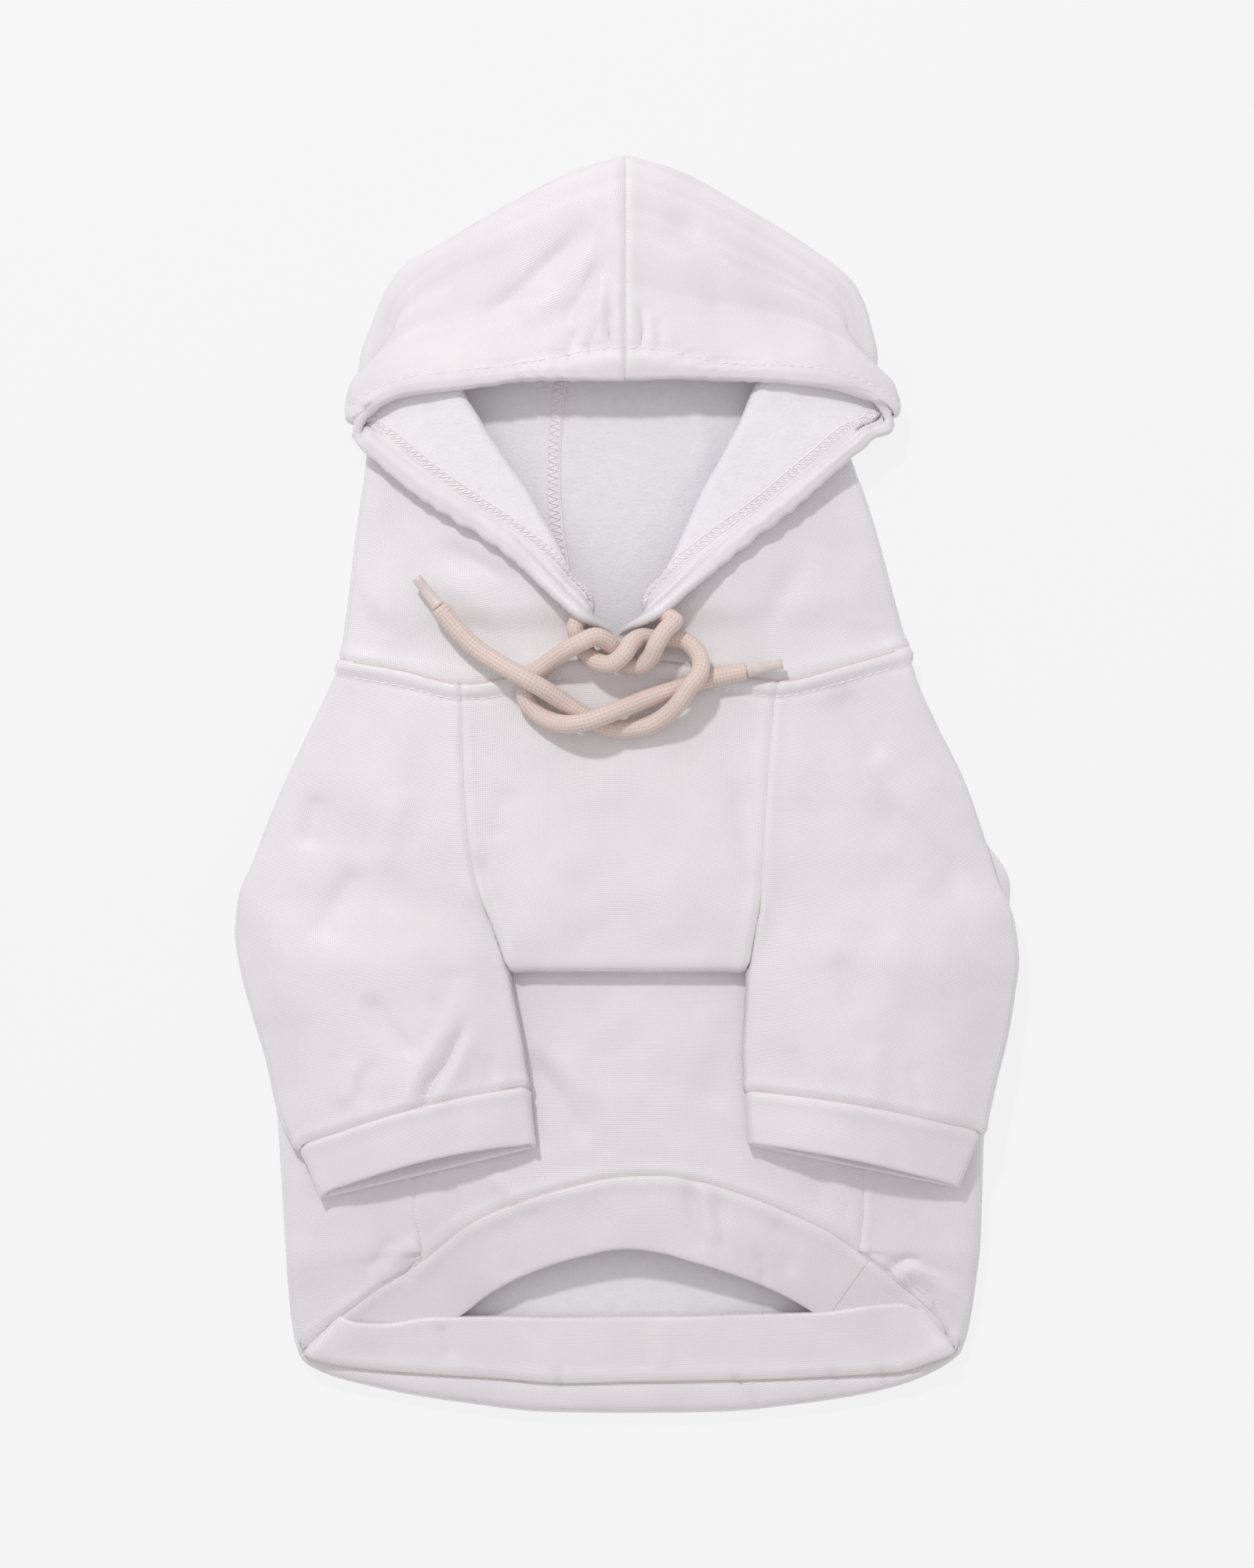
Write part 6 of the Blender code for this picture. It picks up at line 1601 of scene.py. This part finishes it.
def belly_panel(look):
    """Chest and belly in one: down from the neck, under at the chest's fold, and down again to the hem."""
    columns = np.linspace(-1, 1, 11)
    rows = []

    def row(left, right, share_at, z_at):
        line = []
        for c in columns:
            x = left + (right - left) * (c + 1) / 2
            share = share_at(x)
            line.append((x, down(share), z_at(x, share)))
        rows.append(line)

    def raglan(side, share):
        sleeve_rows = SLEEVE_LEFT if side < 0 else SLEEVE_RIGHT
        return body_x(smooth(sleeve_rows["inner_down"], sleeve_rows["inner"], share)) - side * SEAM_GAP

    def tuck_z(x, share):
        return 0.5 * (belly_z(x, share) + chest_z(x, min(share, CHEST_FOLD_DOWN)))

    def bend(left, right, start, end, z_from, z_to):
        """Three rows round a fold, from one layer to the next."""
        for a in (50, 90, 130):
            rad = math.radians(a)
            share = start + (end - start) * math.sin(rad)
            mix = (1 - math.cos(rad)) / 2
            row(left, right, lambda x: share, lambda x, s: z_from(x, s) * (1 - mix) + z_to(x, s) * mix)

    def side_seams(share):
        left = body_x(body_at("wrap_left", share)) + BELLY_GAP
        right = body_x(body_at("wrap_right", share)) - BELLY_GAP
        return left, right

    row(raglan(-1, 0.03), raglan(1, 0.03), lambda x: down_share(neck_seam_y(x) - SEAM_GAP), chest_z)
    for share in CHEST_DOWN:
        row(raglan(-1, share), raglan(1, share), lambda x: share, chest_z)
    low = CHEST_DOWN[-1]
    bend(raglan(-1, low) + FOLD_INSET, raglan(1, low) - FOLD_INSET, low, CHEST_FOLD_DOWN, chest_z, tuck_z)
    for share, left, right in zip(TUCK["down"], TUCK["left"], TUCK["right"]):
        row(body_x(left), body_x(right), lambda x: share, tuck_z)
    left, right = body_x(TUCK["left"][-1]), body_x(TUCK["right"][-1])
    bend(left, right, TUCK["down"][-1], TUCK_FOLD_DOWN, tuck_z, belly_z)
    row(left, right, lambda x: TUCK["down"][-1], belly_z)
    for share in [share for share in BODY["down"] if UNDERARM <= share <= BELLY_LEVEL]:
        left, right = side_seams(share)
        if share == UNDERARM:
            left = max(left, body_x(TUCK["left"][0]) - UNDERARM_TAPER)
            right = min(right, body_x(TUCK["right"][0]) + UNDERARM_TAPER)
        row(left, right, lambda x: share, belly_z)
    for share in [*(share for share in BODY["down"] if share > BELLY_LEVEL), BELLY_SIDE_END]:
        t = (share - BELLY_LEVEL) / (BELLY_SIDE_END - BELLY_LEVEL)
        row(*side_seams(share), lambda x: BELLY_LEVEL + (hem_arc_down(x) - BELLY_LEVEL) * t, belly_z)
    return shell("belly_panel", rows, WALL, look)


def sleeve_section(rows, side, n):
    """One rung of a sleeve: its outer and inner edge in plan, and the way between them."""
    neck = hood_x(NECK_SEAM["x"][0 if side < 0 else -1])
    outer = np.array((neck + rows["flare"][n] * (side * SLEEVE_SPAN / 2 - neck), down(rows["outer_down"][n])))
    outer[0] -= side * WALL / 2
    inner = np.array((body_x(rows["inner"][n]), down(rows["inner_down"][n])))
    if n == 0:
        outer[1] = neck_seam_y(outer[0]) - SEAM_GAP
        inner[1] = neck_seam_y(inner[0]) - SEAM_GAP
    return outer, inner


def raglan_end(outer, inner, side, closed):
    """How far across, from the outer edge, a sleeve's lower layer reaches the end of the body's wrap."""
    if closed == 1:
        return 1.0
    key = "wrap_left" if side < 0 else "wrap_right"
    across = 0.5
    for _ in range(20):
        y = outer[1] + (inner[1] - outer[1]) * across
        x = body_x(body_at(key, down_share(y)))
        across = (x - outer[0]) / (inner[0] - outer[0])
    return across


def sleeve_heights(p, closed, across):
    """A sleeve's lower and upper layer at a plan point; across is 0 on the inner edge, 1 on the outer."""
    share = down_share(p[1])
    low = belly_z(p[0], share) + PLEAT
    puff = SLEEVE_EDGE + (SLEEVE_PUFF - SLEEVE_EDGE) * (1 - abs(2 * across - 1)**SLEEVE_POWER)
    free = low + puff
    joined = max(chest_z(p[0], share), low + PLEAT * 0.8)
    return low, joined + (free - joined) * closed


def sleeve(name, rows, side, look):
    """A raglan sleeve: open towards the body above the underarm, a flattened tube below it."""
    grid = []
    for n in range(len(rows["flare"])):
        outer, inner = sleeve_section(rows, side, n)
        closed = rows["closed"][n]
        seam = raglan_end(outer, inner, side, closed)
        out = (outer - inner) / np.linalg.norm(outer - inner)
        gap = SEAM_GAP / 2
        low_in, top_in = sleeve_heights(inner, closed, 0.0)
        low_out, top_out = sleeve_heights(outer, closed, 1.0)
        r_in = (top_in - low_in) / 2
        r_out = (top_out - low_out) / 2
        line = []
        # the start: flat against the chest panel, or the upper half of the inner fold
        begin = inner + out * gap
        for a in (0, 45):
            rad = math.radians(a)
            folded = inner + out * (r_in * (1 - math.sin(rad)))
            flat = begin + out * SLEEVE_START * (a / 45)
            p = flat * (1 - closed) + folded * closed
            z_fold = low_in + r_in + gap + (r_in - gap) * math.sin(rad)
            z_flat = sleeve_heights(p, 0.0, 0.0)[1]
            line.append((*p, z_flat * (1 - closed) + z_fold * closed))
        first = begin + out * (2 * SLEEVE_START * (1 - closed) + r_in * closed)
        far = outer - out * r_out
        for t in np.linspace(0, 1, 7):
            p = first + (far - first) * t
            if n == 0:
                p = np.array((p[0], neck_seam_y(p[0]) - SEAM_GAP))
            z = sleeve_heights(p, closed, t)[1]
            if t == 1:
                z = top_out
            elif t == 0 and closed == 1:
                z = top_in
            line.append((*p, z))
        for a in FOLD_ANGLES:
            line.append((*(far + out * r_out * math.sin(a)), low_out + r_out * (1 + math.cos(a))))
        # the lower layer, back towards the body
        turn = PLEAT / 2 * (1 - closed) + r_in * closed
        stop = outer + (inner - outer) * seam + out * turn
        for t in np.linspace(0, 1, 5):
            p = far + (stop - far) * t
            line.append((*p, sleeve_heights(p, closed, 1 - t * seam)[0] if t > 0 else low_out))
        low_end = line[-1][2]
        sign = 2 * closed - 1
        for a in (45, 90):
            rad = math.radians(a)
            seam_gap = gap * closed + PLEAT_GAP / 2 * (1 - closed)
            rise = (turn * (1 - math.cos(rad)) - seam_gap * math.sin(rad)) * sign
            line.append((*(stop - out * turn * math.sin(rad)), low_end + rise))
        grid.append(line)
    return shell(name, grid, WALL, look)


def cuff(name, rows, side, look):
    """A doubled band on the sleeve's end, a flattened closed ring."""
    key = "left" if side < 0 else "right"
    outer, inner = sleeve_section(rows, side, len(rows["flare"]) - 1)
    out = (outer - inner) / np.linalg.norm(outer - inner)
    along = np.array((out[1], -out[0])) * (1 if out[0] > 0 else -1)
    outer = outer - out * CUFF_INSET[0] + along * CUFF_GAP
    inner = inner + out * CUFF_INSET[1] + along * CUFF_GAP
    grid = []
    for t in (0.0, 0.12, 0.5, 1.0):
        o = outer + np.array((CUFF_DRIFT[key][0] * CUFF_DEPTH, -CUFF_DROP[key][0] * CUFF_DEPTH)) * t
        i = inner + np.array((CUFF_DRIFT[key][1] * CUFF_DEPTH, -CUFF_DROP[key][1] * CUFF_DEPTH)) * t
        low_in, top_in = sleeve_heights(i, 1.0, 0.0)
        low_out, top_out = sleeve_heights(o, 1.0, 1.0)
        lift = (CUFF_WALL - WALL) / 2
        line = []
        way = o - i
        length = np.linalg.norm(way)
        way = way / length
        r_in = (top_in - low_in) / 2
        r_out = (top_out - low_out) / 2
        for s in np.linspace(0, 1, 8):
            p = i + way * (r_in + (length - r_in - r_out) * s)
            line.append((*p, sleeve_heights(p, 1.0, s)[1] - lift))
        for a in (60, 120):
            rad = math.radians(a)
            line.append((*(o - way * r_out * (1 - math.sin(rad))), low_out + r_out * (1 + math.cos(rad))))
        for s in np.linspace(1, 0, 8):
            p = i + way * (r_in + (length - r_in - r_out) * s)
            line.append((*p, sleeve_heights(p, 1.0, s)[0] + lift))
        for a in (60, 120):
            rad = math.radians(a)
            line.append((*(i + way * r_in * (1 - math.sin(rad))), low_in + r_in * (1 - math.cos(rad))))
        grid.append(line)
    return shell(name, grid, CUFF_WALL, look, ring=True)


def hem_band(look):
    """The doubled hem band: one strip round the mouth, its back flipped up over the inside of the back."""
    stations = []

    def corner(spec, order):
        seam_x, free_x, free_down = spec
        seam_down = hem_at(HEM_SEAM, seam_x) - BAND_CORNER_LIFT
        s = np.array((body_x(seam_x), down(seam_down)))
        f = np.array((body_x(free_x), down(free_down)))
        along = (f - s) / np.linalg.norm(f - s)
        inward = np.array((along[1], -along[0]))
        if inward[0] * s[0] > 0:
            inward = -inward
        r = BAND_CORNER_RADIUS * BAND_WALL
        zs, zf = (h * BELLY_HEIGHT for h in BAND_CORNER_HEIGHT)
        for a in order:
            rad = math.radians(a)
            shift = inward * r * (1 - math.sin(rad))
            lift = -r * math.cos(rad)
            stations.append(((*(s + shift), zs + lift), (*(f + shift), zf + lift)))

    def strip(rows, line, gap):
        for seam_x, free_x, free_down, seam_z, free_z in rows:
            y = down(hem_at(line, seam_x)) + gap
            s = (body_x(seam_x), y, seam_z * BELLY_HEIGHT)
            f = (body_x(free_x), down(free_down), free_z * BELLY_HEIGHT)
            stations.append((s, f))

    strip(BAND_FRONT, HEM_ARC, -SEAM_GAP)
    corner(BAND_CORNER_RIGHT, (0, 45, 90, 135, 180))
    strip(BAND_BACK, HEM_SEAM, SEAM_GAP + BAND_SEAT)
    corner(BAND_CORNER_LEFT, (180, 135, 90, 45, 0))
    grid = []
    for t in (0.0, 0.33, 0.67, 1.0):
        line = []
        for s, f in stations:
            s, f = np.array(s), np.array(f)
            p = s + (f - s) * t
            line.append(tuple(p))
        grid.append(line)
    return shell("hem_band", grid, BAND_WALL, look, ring=True)


def cord_route(table):
    """Points along a smooth curve through a cord's table, evenly spaced."""
    knots = np.array([(hood_x(x), NECK_Y + hood_x(y), z * CORD_DIAMETER) for x, y, z in table])
    run = run_along(knots)
    count = round(run[-1] / CORD_POINT_STEP) + 1
    at = np.linspace(0, run[-1], count)
    return np.stack([smooth(run, knots[:, axis], at) for axis in range(3)], axis=1)


def all_cloth(knit, fleece):
    """The nine cloth pieces of the CAD, drawn again."""
    cloth = (knit, fleece)
    hood_half("hood_left", HOOD_LEFT, -1, cloth)
    hood_half("hood_right", HOOD_RIGHT, 1, cloth)
    back_panel(cloth)
    belly_panel(cloth)
    sleeve("sleeve_left", SLEEVE_LEFT, -1, cloth)
    sleeve("sleeve_right", SLEEVE_RIGHT, 1, cloth)
    cuff("cuff_left", SLEEVE_LEFT, -1, (knit, knit))
    cuff("cuff_right", SLEEVE_RIGHT, 1, (knit, knit))
    hem_band((knit, knit))


def seam_tubes():
    """The thread in each closed seam and in the hem band's short one, its colour with the groove's shade
    painted in.
    """
    seams = [line_on(name, edge, 0.0, keep=keep) for name, edge, keep in SEAMS]
    band = drawn["hem_band"]
    near = np.hypot(*(band["outer"][0, :, :2] - np.array(BAND_JOIN)).T).argmin()
    seams.append((band["outer"][:, near], band["outward"][:, near]))
    sunk = [spaced(points - ways * SEAM_SUNK, ways, SEAM_STEP) for points, ways in seams]
    return [tube(points, ways, SEAM_LINE / 2, THREAD_SIDES) for points, ways in sunk]


def all_stitches(thread, seam):
    """Everything that is sewn on the drawn cloth."""
    neck_lines = [line_on("belly_panel", "first", WELT_WIDTH)]
    for name in ("sleeve_left", "sleeve_right"):
        neck_lines.append(line_on(name, "first", WELT_WIDTH, keep=(0, 0.5)))
    face_lines = [line_on(half, "stop", CASING_STITCH, keep=CASING_STITCHED) for half in HOOD]
    zigzags = []
    for half in HOOD:
        zigzags += zigzag_stitches(half, "stop", CASING_STITCH, ZIGZAG_STITCHED)
    zigzags += zigzag_stitches("hood_left", "start", BACK_SERGE, SERGE_STITCHED)
    return [
        threads("neck_topstitch", running_stitches(neck_lines), thread),
        threads("casing_topstitch", running_stitches(face_lines), thread),
        threads("casing_zigzag", zigzags, thread),
        # the thread in the closed seams, darkened with the painted shade of their grooves
        threads("seam_threads_and_shade", seam_tubes(), seam),
    ]


def drawstring(side, table, braid, plastic):
    """One free end of the drawstring with its tip, and the last of the cord inside the casing."""
    route = cord_route(table)
    made, line = braided(f"drawstring_{side}_braid", route, braid)
    tip = cord_tip(f"aglet_{side}_tip", route, plastic)
    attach(made, "root")
    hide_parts(f"drawstring_{side}")
    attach(tip, "root")
    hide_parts(f"aglet_{side}")
    held = np.concatenate((CORD_INSIDE[side], line[:CORD_OVERLAP]))
    inside, _ = braided(f"drawstring_{side}_inside", held, braid, CORD_INSIDE_WIDTH * CORD_DIAMETER)
    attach(inside, "root")


def main():
    """Loads the CAD, draws every piece and says how each one is held."""
    for old in list(bpy.data.objects):
        bpy.data.objects.remove(old)
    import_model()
    studio()
    knit, fleece, braid, plastic = knit_look(), fleece_look(), braid_look(), tip_look()
    # the seam thread's look paints the shade of the seam's groove into the thread's colour
    thread, seam = thread_look("sewing_thread", THREAD_FACE), thread_look("seam_thread_and_shade", SEAM_THREAD_AND_SHADE)
    all_cloth(knit, fleece)
    stitches = all_stitches(thread, seam)
    for name, piece in drawn.items():
        made = piece["object"]
        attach(made, "root")
        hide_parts(name)
    for piece in stitches:
        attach(piece, "root")
    drawstring("left", CORD_LEFT, braid, plastic)
    drawstring("right", CORD_RIGHT, braid, plastic)


main()
